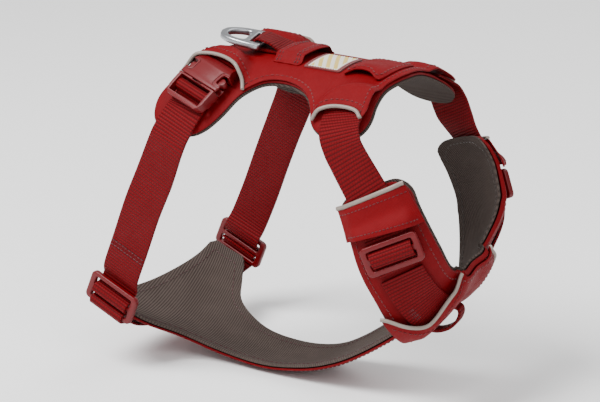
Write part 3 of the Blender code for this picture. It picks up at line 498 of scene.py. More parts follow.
SIDES = (("left", False), ("right", True))
COVER_TOP = COVER_LOW + SHELL_THICK
SEAM_INSET = 2.6
BEVEL_ANGLE = 40.0


# ---- shader helpers -----------------------------------------------------------------------------
def add_node(tree, kind, settings=(), sockets=()):
    """Adds a node: its settings first, then a value or a link for each socket, by name or number."""
    made = tree.nodes.new(kind)
    for key, value in dict(settings).items():
        setattr(made, key, value)
    for key, value in dict(sockets).items():
        feed(tree, made.inputs[key], value)
    return made


def feed(tree, target, value):
    """Sets a socket's value, or links it to another node's output."""
    value = getattr(value, "socket", value)
    if isinstance(value, bpy.types.NodeSocket):
        tree.links.new(value, target)
    else:
        target.default_value = value


class Socket:
    """A shader value with ordinary arithmetic."""

    def __init__(self, graph, socket):
        self.graph = graph
        self.socket = socket

    def __add__(self, other):
        return self.graph.math("ADD", self, other)

    def __sub__(self, other):
        return self.graph.math("SUBTRACT", self, other)

    def __rsub__(self, other):
        return self.graph.math("SUBTRACT", other, self)

    def __mul__(self, other):
        return self.graph.math("MULTIPLY", self, other)

    def __truediv__(self, other):
        return self.graph.math("DIVIDE", self, other)

    def __rtruediv__(self, other):
        return self.graph.math("DIVIDE", other, self)

    __radd__ = __add__
    __rmul__ = __mul__

    def __pow__(self, exponent):
        return self.graph.math("POWER", self, exponent)

    def __abs__(self):
        return self.graph.math("ABSOLUTE", self)

    def __gt__(self, edge):
        return self.graph.math("GREATER_THAN", self, edge)

    def sin(self):
        return self.graph.math("SINE", self)

    def fract(self):
        return self.graph.math("FRACT", self)

    def smooth(self, low, high):
        """0 below low, 1 above high, smooth in between."""
        return self.graph.node("ShaderNodeMapRange", {"interpolation_type": "SMOOTHSTEP"},
                               {"Value": self, "From Min": low, "From Max": high})


class Graph:
    """One material's node tree."""

    def __init__(self, name, roughness=0.7, metallic=0.0, sheen=0.0, coat=0.0, specular=0.10):
        self.material = bpy.data.materials.new(name)
        self.material.use_nodes = True
        self.tree = self.material.node_tree
        self.shader = self.tree.nodes["Principled BSDF"]
        constants = {"Roughness": roughness, "Metallic": metallic, "Sheen Weight": sheen,
                     "Coat Weight": coat, "Coat Roughness": 0.25, "Specular IOR Level": specular}
        for key, value in constants.items():
            self.shader.inputs[key].default_value = value

    def node(self, kind, settings=(), sockets=(), output=0):
        """Any node, from its type, its settings and the values or links of its sockets."""
        return Socket(self, add_node(self.tree, kind, settings, sockets).outputs[output])

    def math(self, operation, *values):
        return self.node("ShaderNodeMath", {"operation": operation}, dict(enumerate(values)))

    def uv(self):
        """The flat place in millimetres: along (or x) and across (or s)."""
        flat = self.node("ShaderNodeUVMap", {"uv_map": "cloth"})
        return [self.node("ShaderNodeSeparateXYZ", sockets={0: flat}, output=axis) for axis in (0, 1)]

    def noise(self, scale, detail=3.0, roughness=0.55):
        """Noise that stays put on the piece, about scale spots to the metre."""
        place = self.node("ShaderNodeTexCoord", output="Object")
        return self.node("ShaderNodeTexNoise", sockets={
            "Vector": place, "Scale": scale, "Detail": detail, "Roughness": roughness})

    def mix(self, factor, first, second):
        """Blends two colours by a factor."""
        first, second = ((*c, 1.0) if isinstance(c, tuple) else c for c in (first, second))
        return self.node("ShaderNodeMix", {"data_type": "RGBA"}, {0: factor, 6: first, 7: second}, output=2)

    def apply_surface(self, colour, height=None, depth=0.0, roughness=None):
        """Gives the surface its colour, a relief of some depth in metres and its gloss."""
        feed(self.tree, self.shader.inputs["Base Color"], colour)
        if height is not None:
            relief = self.node("ShaderNodeBump", sockets={"Distance": depth, "Height": height})
            feed(self.tree, self.shader.inputs["Normal"], relief)
        if roughness is not None:
            feed(self.tree, self.shader.inputs["Roughness"], roughness)
        return self.material


def shade(colour, factor):
    """The colour made lighter or darker."""
    return tuple(min(1.0, c * factor) for c in colour)


def webbing_material(name, colour, pitch=1.9):
    """Ribbed nylon webbing: rows of rounded floats, each row set half a float aside from the last; painted
    shade between rows, painted highlight on float crowns.
    """
    g = Graph(name, roughness=0.62)
    along, across = g.uv()
    row = (along * (math.pi / pitch)).sin()
    rib = abs(row) ** 0.6
    yarn = abs((across * (math.pi / 1.7) + (row > 0.0) * (math.pi / 2.0)).sin()) ** 0.6
    rubbed = g.noise(90.0)
    # painted shade: the hollows between the rows and the sides of the floats are darkened, their crowns
    # lightened
    base = g.mix(rib * (yarn * 0.45 + 0.55), shade(colour, 0.30), shade(colour, 1.15))
    base = g.mix(rubbed.smooth(0.35, 0.75) * 0.30, base, shade(colour, 0.66))
    # painted highlight on the crown of each float
    base = g.mix(yarn * rib * 0.25, base, shade(colour, 1.6))
    return g.apply_surface(base, rib * 0.6 + yarn * rib * 0.5, 0.00042, rubbed * 0.15 + 0.52)


def fabric_material(name, colour, wrinkle=1.6):
    """Plain-weave polyester over foam: fine weave, soft creases with a painted highlight where they rise, and
    a slight random mottle.
    """
    g = Graph(name, roughness=0.6)
    x, s = g.uv()
    weave = (x * (math.pi / 0.5)).sin() * (s * (math.pi / 0.5)).sin()
    creases = g.noise(26.0, 2.0, 0.5)
    fine = g.noise(160.0, 3.0, 0.6)
    base = g.mix(fine.smooth(0.3, 0.75) * 0.35, colour, shade(colour, 0.78))
    # painted highlight: the same noise that raises the creases lightens their raised parts
    base = g.mix(creases.smooth(0.55, 0.8) * 0.25, base, shade(colour, 1.18))
    base = g.mix((weave * 0.5 + 0.5) * 0.18, base, shade(colour, 0.7))
    return g.apply_surface(base, weave * 0.10 + creases * wrinkle + fine * 0.12, 0.0006, fine * 0.2 + 0.48)


def mesh_material(name, colour, lean, pitch=1.35):
    """Warp-knit lining: fine leaning ribs with painted shade between them and a painted highlight on their
    crowns, and rows of small holes between them drawn as painted shade.
    """
    g = Graph(name, roughness=0.85)
    x, s = g.uv()
    rib = abs((x * (lean[0] * math.pi / pitch) + s * (lean[1] * math.pi / pitch)).sin())
    knit = abs((x * (lean[1] * math.pi / 0.9) - s * (lean[0] * math.pi / 0.9)).sin())
    # painted shade in the hollows between the ribs, painted highlight on their crowns
    base = g.mix(rib ** 1.4, shade(colour, 0.5), shade(colour, 1.35))
    # painted shade stands in for the dark holes of the knit
    base = g.mix((1.0 - knit) * rib * 0.35, base, shade(colour, 0.45))
    base = g.mix(g.noise(60.0).smooth(0.4, 0.8) * 0.25, base, shade(colour, 1.6))
    return g.apply_surface(base, rib * 0.7 + knit * 0.35, 0.00045)


def plastic_material(name, colour):
    """Satin moulded acetal with a fine spark-eroded grain and rubbed patches."""
    g = Graph(name, roughness=0.36, coat=0.06, specular=0.3)
    rubbed = g.noise(70.0, 4.0, 0.6)
    base = g.mix(rubbed.smooth(0.4, 0.75) * 0.3, colour, shade(colour, 1.25))
    return g.apply_surface(base, g.noise(2600.0, 2.0, 0.6), 0.00006, rubbed * 0.25 + 0.26)


def metal_material(name, colour):
    """Forged and tumbled aluminium with fine scuffs."""
    g = Graph(name, roughness=0.3, metallic=1.0, specular=0.5)
    scuff = g.noise(420.0, 6.0, 0.7)
    base = g.mix(g.noise(60.0, 3.0, 0.5).smooth(0.3, 0.75) * 0.5, colour, shade(colour, 0.7))
    return g.apply_surface(base, scuff, 0.00008, scuff * 0.2 + 0.22)


def piping_material(name, colour):
    """Reflective piping: smooth beaded tape with fine cross creases."""
    g = Graph(name, roughness=0.42, metallic=0.25)
    base = g.mix(g.noise(120.0, 3.0, 0.6).smooth(0.4, 0.8) * 0.4, colour, shade(colour, 0.72))
    return g.apply_surface(base, g.noise(1500.0, 2.0, 0.5), 0.00008)


def thread_material(name, colour):
    """Twisted sewing thread, with a painted highlight on the twist's raised spots and painted shade in its
    low ones.
    """
    g = Graph(name, roughness=0.5, sheen=0.3)
    twist = g.noise(1800.0, 2.0, 0.6)
    # painted highlight and shade: colour follows the same noise as the relief
    return g.apply_surface(g.mix(twist, shade(colour, 0.7), shade(colour, 1.25)), twist, 0.00008)


def label_material(name):
    """Woven label: dark border, pale line and a field of plain diagonal stripes."""
    g = Graph(name, roughness=0.6, sheen=0.2)
    x, s = g.uv()
    edge = g.math("MINIMUM", 12.0 - abs(x - 12.5), 18.0 - abs(s))
    stripe = ((x + s * 0.6) / 5.2).fract() > 0.5
    cream, gold = (0.80, 0.76, 0.66), (0.70, 0.50, 0.10)
    field = g.mix(edge > 3.4, cream, g.mix(stripe, gold, cream))
    base = g.mix(edge > 2.4, (0.16, 0.012, 0.018), field)
    threads = abs((s * (math.pi / 0.35)).sin())
    return g.apply_surface(g.mix(threads * 0.3, base, (0.12, 0.08, 0.05)), threads + stripe * 0.6, 0.00012)


RED = (0.140, 0.0001, 0.0024)
WEB_RED = (0.105, 0.0001, 0.0018)
PLASTIC_RED = (0.100, 0.0001, 0.0018)
TAUPE = (0.062, 0.046, 0.040)
PIPING_GREY = (0.24, 0.20, 0.175)
ALUMINIUM = (0.42, 0.43, 0.45)

FABRIC = fabric_material("red_fabric", RED)
PADDING = fabric_material("red_padding", shade(RED, 0.9), 2.4)
BELLY_FABRIC = fabric_material("belly_fabric", shade(RED, 0.85), 2.13)
WEB = webbing_material("red_webbing", WEB_RED)
TAB_WEB = webbing_material("tab_webbing", WEB_RED, 1.6)
BELLY_MESH = mesh_material("belly_mesh", TAUPE, (0.96, 0.28))
MESH_LINING = mesh_material("mesh_lining", shade(TAUPE, 0.85), (0.35, 0.94))
PLASTIC = plastic_material("red_plastic", PLASTIC_RED)
METAL = metal_material("forged_aluminium", ALUMINIUM)
PIPING = piping_material("reflective_piping", PIPING_GREY)
THREAD = thread_material("red_thread", shade(RED, 0.55))
GREY_THREAD = thread_material("grey_thread", shade(TAUPE, 0.6))
DARK_THREAD = thread_material("dark_thread", (0.05, 0.008, 0.012))
LABEL = label_material("woven_label")


# ---- placing finished pieces --------------------------------------------------------------------
def placed(point, mirror):
    """A design point in millimetres at its worn place in metres."""
    at = Vector(point)
    if mirror:
        at.y = -at.y
    return tuple(worn(at) * MM)


def attach(obj, body, between, mirror):
    """Puts a piece on its body; a piece given two points between the harness and its body is instead baked in
    place and put on no body.
    """
    if between:
        placed(between[0], mirror)
        placed(between[1], mirror)
        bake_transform(obj)
    else:
        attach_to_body(obj, body)


def show(name, bm, material, body="harness", nodes=(), mirror=False, bevel=0.3, segments=2, sharp=35.0,
         between=None, cut=None):
    """Makes one finished piece from a bmesh in millimetres and puts it on its body."""
    flat = bm.verts.layers.float_vector.get("flat")
    if mirror:
        bmesh.ops.scale(bm, vec=(1.0, -1.0, 1.0), verts=bm.verts)
    for vert in bm.verts:
        vert.co = worn(vert.co)
    bm.normal_update()
    bmesh.ops.recalc_face_normals(bm, faces=bm.faces)
    if bm.calc_volume(signed=True) < 0.0:
        bmesh.ops.reverse_faces(bm, faces=bm.faces)
    uv = bm.loops.layers.uv.new("cloth")
    for face in bm.faces:
        for loop in face.loops:
            loop[uv].uv = loop.vert[flat].xy if flat else loop.vert.co.xy
    bmesh.ops.scale(bm, vec=(MM, MM, MM), verts=bm.verts)
    mesh = mesh_from(name, bm)
    obj = linked(name, mesh)
    if bevel:
        modifier = obj.modifiers.new("edges", "BEVEL")
        modifier.width = bevel * MM
        modifier.segments = segments
        modifier.limit_method = "ANGLE"
        modifier.angle_limit = math.radians(BEVEL_ANGLE)
        mesh = finished_mesh(obj)
        obj.modifiers.clear()
        obj.data = mesh
    mesh.materials.clear()
    mesh.materials.append(material)
    mesh.shade_smooth()
    mesh.set_sharp_from_angle(angle=math.radians(sharp))
    attach(obj, body, between, mirror)
    if nodes:
        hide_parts(*nodes)
    if cut:
        declare_sheet(cut)


def declare_sheet(cut):
    """Works out the size and share of a fabric panel's cut from its flat outline; the result is not kept."""
    xs, ys = [p[0] for p in cut], [p[1] for p in cut]
    area = abs(sum(a[0] * b[1] - b[0] * a[1] for a, b in zip(cut, cut[1:] + cut[:1]))) / 2.0
    width, length = sorted((max(xs) - min(xs), max(ys) - min(ys)))
    share = area / (width * length)
    size = (width * MM, length * MM)
    size[0] * size[1] * min(1.0, share)


def rim_distance(outline):
    """Distance from a flat point to a closed outline."""
    a = np.array([(p[0], p[1]) for p in outline], float)
    b = np.roll(a, -1, axis=0)
    run = b - a
    square = (run ** 2).sum(axis=1) + 1e-9

    def distance(x, y):
        t = np.clip(((x - a[:, 0]) * run[:, 0] + (y - a[:, 1]) * run[:, 1]) / square, 0.0, 1.0)
        return float(np.hypot(a[:, 0] + run[:, 0] * t - x, a[:, 1] + run[:, 1] * t - y).min())

    return distance


def socket_id(group, name):
    """Identifier of a group's named input."""
    for item in group.interface.items_tree:
        if item.item_type == "SOCKET" and item.in_out == "INPUT" and item.name == name:
            return item.identifier
    raise KeyError(name)


def stitch_group():
    """Geometry nodes: a rounded stitch every so far along each line."""
    group = bpy.data.node_groups.new("stitches", "GeometryNodeTree")
    face = group.interface
    face.new_socket("Geometry", in_out="INPUT", socket_type="NodeSocketGeometry")
    for name in ("Pitch", "Length", "Radius"):
        face.new_socket(name, in_out="INPUT", socket_type="NodeSocketFloat")
    face.new_socket("Thread", in_out="INPUT", socket_type="NodeSocketMaterial")
    face.new_socket("Geometry", in_out="OUTPUT", socket_type="NodeSocketGeometry")

    def step(kind, settings=(), sockets=(), output=0):
        return add_node(group, kind, settings, sockets).outputs[output]

    given = add_node(group, "NodeGroupInput").outputs
    curve = step("GeometryNodeMeshToCurve", sockets={"Mesh": given["Geometry"]})
    points = step("GeometryNodeResampleCurve", {"mode": "LENGTH"}, {"Curve": curve, "Length": given["Pitch"]})
    turn = step("FunctionNodeAlignRotationToVector", {"axis": "Z"}, {
        "Vector": step("GeometryNodeInputTangent")}, "Rotation")
    stitch = step("GeometryNodeMeshUVSphere", sockets={"Segments": 8, "Rings": 6, "Radius": 1.0})
    half = step("ShaderNodeMath", {"operation": "MULTIPLY"}, {0: given["Length"], 1: 0.5})
    size = step("ShaderNodeCombineXYZ", sockets={0: given["Radius"], 1: given["Radius"], 2: half})
    laid = step("GeometryNodeInstanceOnPoints", sockets={
        "Points": points, "Instance": stitch, "Rotation": turn, "Scale": size})
    real = step("GeometryNodeRealizeInstances", sockets={"Geometry": laid})
    sewn = step("GeometryNodeSetMaterial", sockets={"Geometry": real, "Material": given["Thread"]})
    add_node(group, "NodeGroupOutput", sockets={"Geometry": sewn})
    return group


STITCHES = stitch_group()


def sew(name, lines, thread, body="harness", pitch=3.0, length=2.3, radius=0.3, between=None):
    """Rows of stitches along lines given in millimetres."""
    bm = bmesh.new()
    for line, mirror in lines:
        verts = [bm.verts.new(placed(point, mirror)) for point in line]
        for pair in zip(verts, verts[1:]):
            bm.edges.new(pair)
    mesh = mesh_from(name, bm)
    obj = linked(name, mesh)
    modifier = obj.modifiers.new("stitches", "NODES")
    modifier.node_group = STITCHES
    for key, value in (("Pitch", pitch * MM), ("Length", length * MM), ("Radius", radius * MM),
                       ("Thread", thread)):
        modifier[socket_id(STITCHES, key)] = value
    made = finished_mesh(obj)
    bpy.data.objects.remove(obj, do_unlink=True)
    bpy.data.meshes.remove(mesh)
    made.shade_smooth()
    made.name = name
    attach(linked(name, made), body, between, False)


# ---- saddle -------------------------------------------------------------------------------------
def saddle_piece(half, low, thick, tile_size, puff, rim, rise=None, squeeze=False):
    outline = mirrored_outline(half)
    distance = rim_distance(outline)

    def surface(x, s, z):
        d = distance(x, s)
        top = z / thick
        height = low + z
        if squeeze:
            height -= z * (hump(x, s, PRESS) + hump(x, s, PLUG_PRESS)) / PAD_THICK
        if rise:
            height += cover_rise(x, s)
        soft = puff * ramp(d, 0.0, 9.0) - rim * ramp(d, 2.2, 0.0)
        return back(x, s, height + soft * top)

    plate = flat_plate([outline], 0.0, thick)
    return bend(tile(plate, tile_size, tile_size), surface)


def cover_outline():
    """Half of the saddle cover, from its five runs."""
    line = []
    for run in (COVER_REAR, REAR_ARCH, COVER_WAIST, FRONT_ARCH, COVER_FRONT):
        line += smooth_line(run, 2.0)[:-1]
    line.append(Vector(COVER_FRONT[-1]))
    return line


def on_cover(line, height):
    """A flat line laid on the saddle cover at a height."""
    return [back(p.x, p.y, height + cover_rise(p.x, p.y)) for p in line]


def build_saddle():
    """The saddle's three layers, the piping round its mouths and its top stitching."""
    base = smooth_line(SADDLE_HALF, 2.5)
    show("lining", saddle_piece(base, 0.0, LINING_THICK, 2.6, 0.0, 0.3), MESH_LINING, nodes=["saddle_lining"],
         bevel=0.4, cut=mirrored_outline(base))
    pad = saddle_piece(inset(base, 0.7), PAD_LOW, PAD_THICK, 2.4, 0.0, 0.9, squeeze=True)
    show("pad", pad, PADDING, nodes=["saddle_pad"], bevel=0.5)
    cover = cover_outline()
    made = saddle_piece(cover, COVER_LOW, SHELL_THICK, 1.8, 0.25, 0.5, rise=True)
    show("cover", made, FABRIC, nodes=["saddle_cover"], bevel=0.4, cut=mirrored_outline(cover))
    sewn = []
    for place, arch in (("rear", REAR_ARCH), ("front", FRONT_ARCH)):
        line = smooth_line(arch, 1.5)
        piping = on_cover(beside(line, PIPING_RADIUS + GAP - 0.25), COVER_LOW + 0.7)
        seam = on_cover(beside(line, -SEAM_INSET), COVER_TOP + 0.1)
        for side, mirror in SIDES:
            show(f"trim_{place}_{side}", cord(piping, PIPING_RADIUS, 4), PIPING, mirror=mirror,
                 nodes=[f"piping_{place}_{side}"], bevel=0.0)
            sewn.append((seam[4:-4], mirror))
    for run in (COVER_WAIST, COVER_REAR, COVER_FRONT):
        seam = on_cover(beside(smooth_line(run, 2.0), -SEAM_INSET), COVER_TOP + 0.05)
        sewn += [(seam[1:-1], mirror) for _, mirror in SIDES]
    sew("saddle_stitches", sewn, THREAD)


# ---- ridge --------------------------------------------------------------------------------------
TAB_WIDTH = 19.0
TAB_THICK = 1.1
BAND_HALF = 16.5
LABEL_SPAN = (-16.5, 5.0)


def build_leash_ring():
    """Forged plate ring with a D opening and a slot over its bar."""
    outer = mirrored_outline(smooth_line(((-24.5, 0.0), (-22.8, 7.0), (-16.5, 12.6), (-8.0, 15.0),
                                          (-0.5, 15.2), (2.0, 13.2), (2.0, 8.0), (2.0, 0.0)), 1.0))
    eye = mirrored_outline(smooth_line(((-20.3, 0.0), (-18.8, 5.2), (-14.2, 8.8), (-10.0, 9.4), (-8.6, 7.2),
                                        (-8.6, 0.0)), 1.0))
    slot = rounded_box(-5.0, -1.6, -10.4, 10.4, 1.2, 4)
    ring = flat_plate([outer, eye, slot], -1.8, 1.8, bevel=1.0, bevel_steps=4)
    bar = Vector(RING_BAR_AT)
    turn = Matrix.Translation(bar) @ Matrix.Rotation(RING_YAW, 4, "Z") @ Matrix.Rotation(RING_TILT, 4, "Y")
    bmesh.ops.transform(ring, matrix=turn, verts=ring.verts)
    show("ring", ring, METAL, "ring", ["leash_ring"], bevel=0.0)


def build_ring_tab():
    """The webbing tab that holds the ring, folded round its bar, and the band sewn over its ends."""
    bar = Vector(RING_BAR_AT)
    low = COVER_TOP + GAP + TAB_THICK / 2.0
    loop = bar.z - low
    square = Vector((0.0, 1.0, 0.0))
    turned = Vector((-math.sin(RING_YAW), math.cos(RING_YAW), 0.0))
    back_down = turned.cross(Vector((0.0, 0.0, 1.0)))
    path = [((-9.0, 0.0, low), square), ((-24.0, -0.5, low), square)]
    for degrees in (300, 270, 240, 210, 180, 150, 120, 92, 66):
        angle = math.radians(degrees)
        at = bar + back_down * (loop * math.cos(angle)) + Vector((0.0, 0.0, loop * math.sin(angle)))
        path.append((at, turned))
    high = low + TAB_THICK + GAP
    path += [((-30.0, -1.6, 10.4), turned), ((-23.0, -0.4, high + 0.3), square),
             ((-15.0, 0.0, high), square), ((-9.0, 0.0, high), square)]
    tab = ribbon(path, TAB_WIDTH, TAB_THICK, lanes=10, step=0.8)
    show("tab", tab, TAB_WEB, nodes=["ring_tab"], bevel=0.25)

    band_low = COVER_TOP + GAP
    over_tab = high + TAB_THICK / 2.0 + 0.9 - band_low

    def band_height(x, s):
        return band_low + over_tab * ramp(abs(s), 14.5, 10.6)

    outline = rounded_box(-21.0, -2.5, -BAND_HALF, BAND_HALF, 1.5, 4)
    distance = rim_distance(outline)
    band = flat_plate([outline], 0.0, 1.2)
    bend(tile(band, 1.2, 1.2), lambda x, s, z: back(x, s, band_height(x, s) + z * (
        1.0 - 0.5 * ramp(distance(x, s), 1.8, 0.0) + 0.12 * math.sin(x * 0.9 + s * 0.2))))
    show("band", band, FABRIC, nodes=["tab_band"], bevel=0.35, cut=outline)
    rows = []
    for x in (-18.6, -16.6, -6.6, -4.8):
        rows.append(([back(x, s * 0.5, band_height(x, s * 0.5) + 1.25) for s in range(-30, 31)], False))
    sew("band_stitches", rows, DARK_THREAD, pitch=2.4, length=1.8, radius=0.26)


def build_label():
    """The woven label, sewn flat on the saddle."""
    label = flat_plate([rounded_box(0.5, 24.5, *LABEL_SPAN, 1.0, 4)], 0.0, 0.9)
    bend(tile(label, 3.0, 1.5), lambda x, s, z: back(x, s, COVER_TOP + GAP + z))
    show("label", label, LABEL, nodes=["woven_label"], bevel=0.25)
    border = rounded_box(1.5, 23.5, LABEL_SPAN[0] + 1.0, LABEL_SPAN[1] - 1.0, 0.8, 3)
    border.append(border[0])
    rows = [([back(p.x, p.y, COVER_TOP + GAP + 0.95) for p in smooth_line(border, 1.0)], False)]
    sew("label_stitches", rows, DARK_THREAD, pitch=1.7, length=1.3, radius=0.18)


def build_pocket():
    """The tag pocket's flap: sewn along its far edge and gaping on the near side."""
    outline = smooth_line(((27.5, -16.0), (34.0, -15.0), (44.0, -15.5), (51.5, -17.5), (53.0, 0.0),
                           (50.0, 16.5), (39.0, 17.5), (28.5, 16.5)), 2.0, closed=True)
    distance = rim_distance(outline)

    def pocket_height(x, s):
        gape = 3.6 * ramp(s, 4.0, -16.0) * math.sin(math.pi * min(1.0, max(0.0, (x - 27.0) / 26.0)))
        return COVER_TOP + GAP + gape

    def pocket_surface(x, s, z):
        soft = 0.35 * ramp(distance(x, s), 0.0, 5.0) - 0.4 * ramp(distance(x, s), 1.6, 0.0)
        return back(x, s, pocket_height(x, s) + z * (1.0 + soft))

    pocket = bend(tile(flat_plate([outline], 0.0, 1.2), 1.6, 1.6), pocket_surface)
    fold = ((39.0, 20.5, 3.2), (39.0, 14.0, 3.2))
    show("pocket", pocket, FABRIC, "pocket_flap", ["tag_pocket_flap"], bevel=0.35, between=fold, cut=outline)
    inner = [p + (Vector((40.0, 0.0)) - p).normalized() * 2.4 for p in outline]
    inner.append(inner[0])
    rows = [([back(p.x, p.y, pocket_height(p.x, p.y) + 1.4) for p in inner], False)]
    sew("pocket_stitches", rows, THREAD, "pocket_flap", between=fold)


# ---- buckles ------------------------------------------------------------------------------------
def buckle_frame():
    """Where the buckle lies: its origin, across, along and outward directions."""
    x, s = BUCKLE_AT
    origin = back(x, s, BUCKLE_HEIGHT)
    down = (back(x, s + 0.5, 0.0) - back(x, s - 0.5, 0.0)).normalized()
    outward = (back(x, s, 1.0) - back(x, s, 0.0)).normalized()
    along = Vector((math.sin(BUCKLE_LEAN), 0.0, 0.0)) - down * math.cos(BUCKLE_LEAN)
    return origin, along.cross(outward), along, outward


def buckle_point(a, b, c):
    origin, across, along, outward = buckle_frame()
    angle = b / BUCKLE_BEND
    radius = BUCKLE_BEND + c
    return (origin - outward * BUCKLE_BEND + along * (radius * math.sin(angle))
            + outward * (radius * math.cos(angle)) + across * a)


def cut_blocks(body, boxes):
    """Cuts boxes, given by their corners, out of a body one after another."""
    for box in boxes:
        body = boolean(body, block(*box))
    return body


def build_receiver():
    """Hollow box with a window each side for a prong, in its own flat place."""
    half, low, top = BUCKLE_HALF_WIDTH, RECEIVER_LOW, RECEIVER_TOP
    outline = [Vector(p) for p in ((half, low), (half, 7.4), (half - 2.6, 11.0), (half - 3.0, top),
                                   (3.0 - half, top), (2.6 - half, 11.0), (-half, 7.4), (-half, low))]
    body = flat_plate([outline], 0.0, BUCKLE_THICK, bevel=0.6, bevel_steps=3)
    roof = BUCKLE_THICK - BUCKLE_WALL
    body = cut_blocks(body, ((-half + 2.0, half - 2.0, low - 5.0, 9.8, BUCKLE_WALL, roof),
                             (-half - 4.0, half + 4.0, low - 5.0, 6.0, BUCKLE_WALL, roof)))
    window = rounded_box(half - 4.6, half + 5.0, 0.9, 6.9, 1.6, 5)
    groove = rounded_box(half - 6.4, half + 6.0, -0.9, 8.7, 2.6, 5)
    inner = rounded_box(half - 5.6, half + 5.0, -0.1, 7.9, 2.2, 5)
    for loops, floor in (([window], -2.0), ([groove, inner], BUCKLE_THICK - 0.35)):
        for sign in (1.0, -1.0):
            cut = [[Vector((p.x * sign, p.y)) for p in loop] for loop in loops]
            body = boolean(body, flat_plate(cut, floor, BUCKLE_THICK + 2.0))
    body = cut_blocks(body, [(-10.8, 10.8, 12.4, 14.6, -3.0, BUCKLE_THICK + 3.0)])
    taper = block(-half - 2.0, half + 2.0, 8.2, top + 8.0, 0.0, 9.0)
    bmesh.ops.rotate(taper, cent=(0.0, 8.2, 0.0), matrix=Matrix.Rotation(math.radians(-17.0), 3, "X"),
                     verts=taper.verts)
    bmesh.ops.translate(taper, vec=(0.0, 0.0, BUCKLE_THICK), verts=taper.verts)
    return boolean(body, taper)


def build_plug():
    """Ladder frame with its webbing bar and the middle guide."""
    half, low, top = BUCKLE_HALF_WIDTH, PLUG_LOW, RECEIVER_LOW - GAP
    outline = [Vector(p) for p in ((half - 0.3, top), (2.0, top), (2.0, 8.5), (-2.0, 8.5), (-2.0, top),
                                   (0.3 - half, top), (0.3 - half, low + 4.5), (1.4 - half, low + 1.6),
                                   (4.0 - half, low), (half - 4.0, low), (half - 1.4, low + 1.6),
                                   (half - 0.3, low + 4.5))]
    over, floor = BUCKLE_THICK + 2.0, BUCKLE_WALL + GAP
    return cut_blocks(flat_plate([outline], 0.0, BUCKLE_THICK), (
        (-13.1, 13.1, low + 2.4, -9.2, -2.0, over),
        (-13.1, 13.1, -7.4, -4.4, -2.0, over),
        (-13.1, 13.1, -9.2, -7.4, -2.0, 1.9),
        (-13.1, 13.1, -9.2, -7.4, 3.8, over),
        (-4.0, 4.0, top - 0.6, 10.0, -2.0, floor),
        (-4.0, 4.0, top - 0.6, 10.0, BUCKLE_THICK - floor, over),
        (-half - 2.0, half + 2.0, low - 2.0, low + 5.0, -3.0, 0.9)))


def build_prong():
    """One springy prong at positive a, barbed to seat in the window."""
    half = BUCKLE_HALF_WIDTH
    outline = [Vector(p) for p in ((8.8, -2.4), (11.6, -2.4), (half - 3.3, 1.3), (half - 1.9, 1.6),
                                   (half - 0.5, 2.6), (half - 0.4, 4.4), (half - 2.4, 5.7),
                                   (half - 4.0, 5.5), (half - 5.0, 3.8), (9.6, 0.0))]
    return flat_plate([smooth_line(outline, 0.8, closed=True)], BUCKLE_WALL + GAP,
                      BUCKLE_THICK - BUCKLE_WALL - GAP)


def build_buckles():
    """Each side-release buckle: receiver, plug, its two prongs and the sewn webbing tail."""
    for side, mirror in SIDES:
        receiver = bend(tile(build_receiver(), 0.0, 2.0), buckle_point)
        show(f"receiver_{side}", receiver, PLASTIC, nodes=[f"buckle_receiver_{side}"], mirror=mirror,
             bevel=0.25, segments=3, sharp=32.0)
        plug = bend(tile(build_plug(), 0.0, 2.0), buckle_point)
        show(f"plug_{side}", plug, PLASTIC, f"plug_{side}", [f"buckle_plug_{side}"], mirror=mirror,
             bevel=0.7, segments=4, sharp=32.0)
        for place, sign in (("rear", 1.0), ("front", -1.0)):
            prong = build_prong()
            bmesh.ops.scale(prong, vec=(sign, 1.0, 1.0), verts=prong.verts)
            node = f"prong_{place}_{side}"
            show(f"spring_{place}_{side}", bend(prong, buckle_point), PLASTIC, node, [node], mirror=mirror,
                 bevel=0.35, segments=3)
        across = buckle_frame()[1]
        path = [(buckle_point(0.0, b, c), across) for b, c in ((24.0, -0.1), (19.5, 0.0), (17.8, -0.9),
                                                               (14.6, -1.1), (13.4, 0.0), (13.4, 2.6),
                                                               (13.4, 4.1))]
        show(f"tail_{side}", ribbon(path, 20.0, 1.0, lanes=6, step=1.2), WEB, nodes=[f"receiver_tab_{side}"],
             mirror=mirror, bevel=0.2)


# ---- girth --------------------------------------------------------------------------------------
GIRTH_BAR = 2.8
GIRTH_SLIDER_SIZE = (34.5, 18.0)


def slider_plate(length, height, bar, webbing_width):
    """Three-bar webbing slider, flat in its own plane."""
    half, tall = length / 2.0, height / 2.0
    inner = webbing_width / 2.0
    outer = rounded_box(-half, half, -tall, tall, 3.0, 7)
    upper = rounded_box(-inner, inner, bar / 2.0, tall - bar, 0.8, 4)
    lower = rounded_box(-inner, inner, bar - tall, -bar / 2.0, 0.8, 4)
    return flat_plate([outer, upper, lower], -1.6, 1.6, bevel=0.75, bevel_steps=4)


def girth_frame():
    """The girth slider's place, the direction across the webbing and the one along it."""
    across = Vector((math.cos(GIRTH_LEAN), 0.0, -math.sin(GIRTH_LEAN)))
    along = Vector((math.sin(GIRTH_LEAN), 0.0, math.cos(GIRTH_LEAN)))
    return Vector(GIRTH_SLIDER_AT), across, along


def girth_point(a, b, c):
    origin, across, along = girth_frame()
    return origin + across * a + along * b + Vector((0.0, 1.0, 0.0)) * c


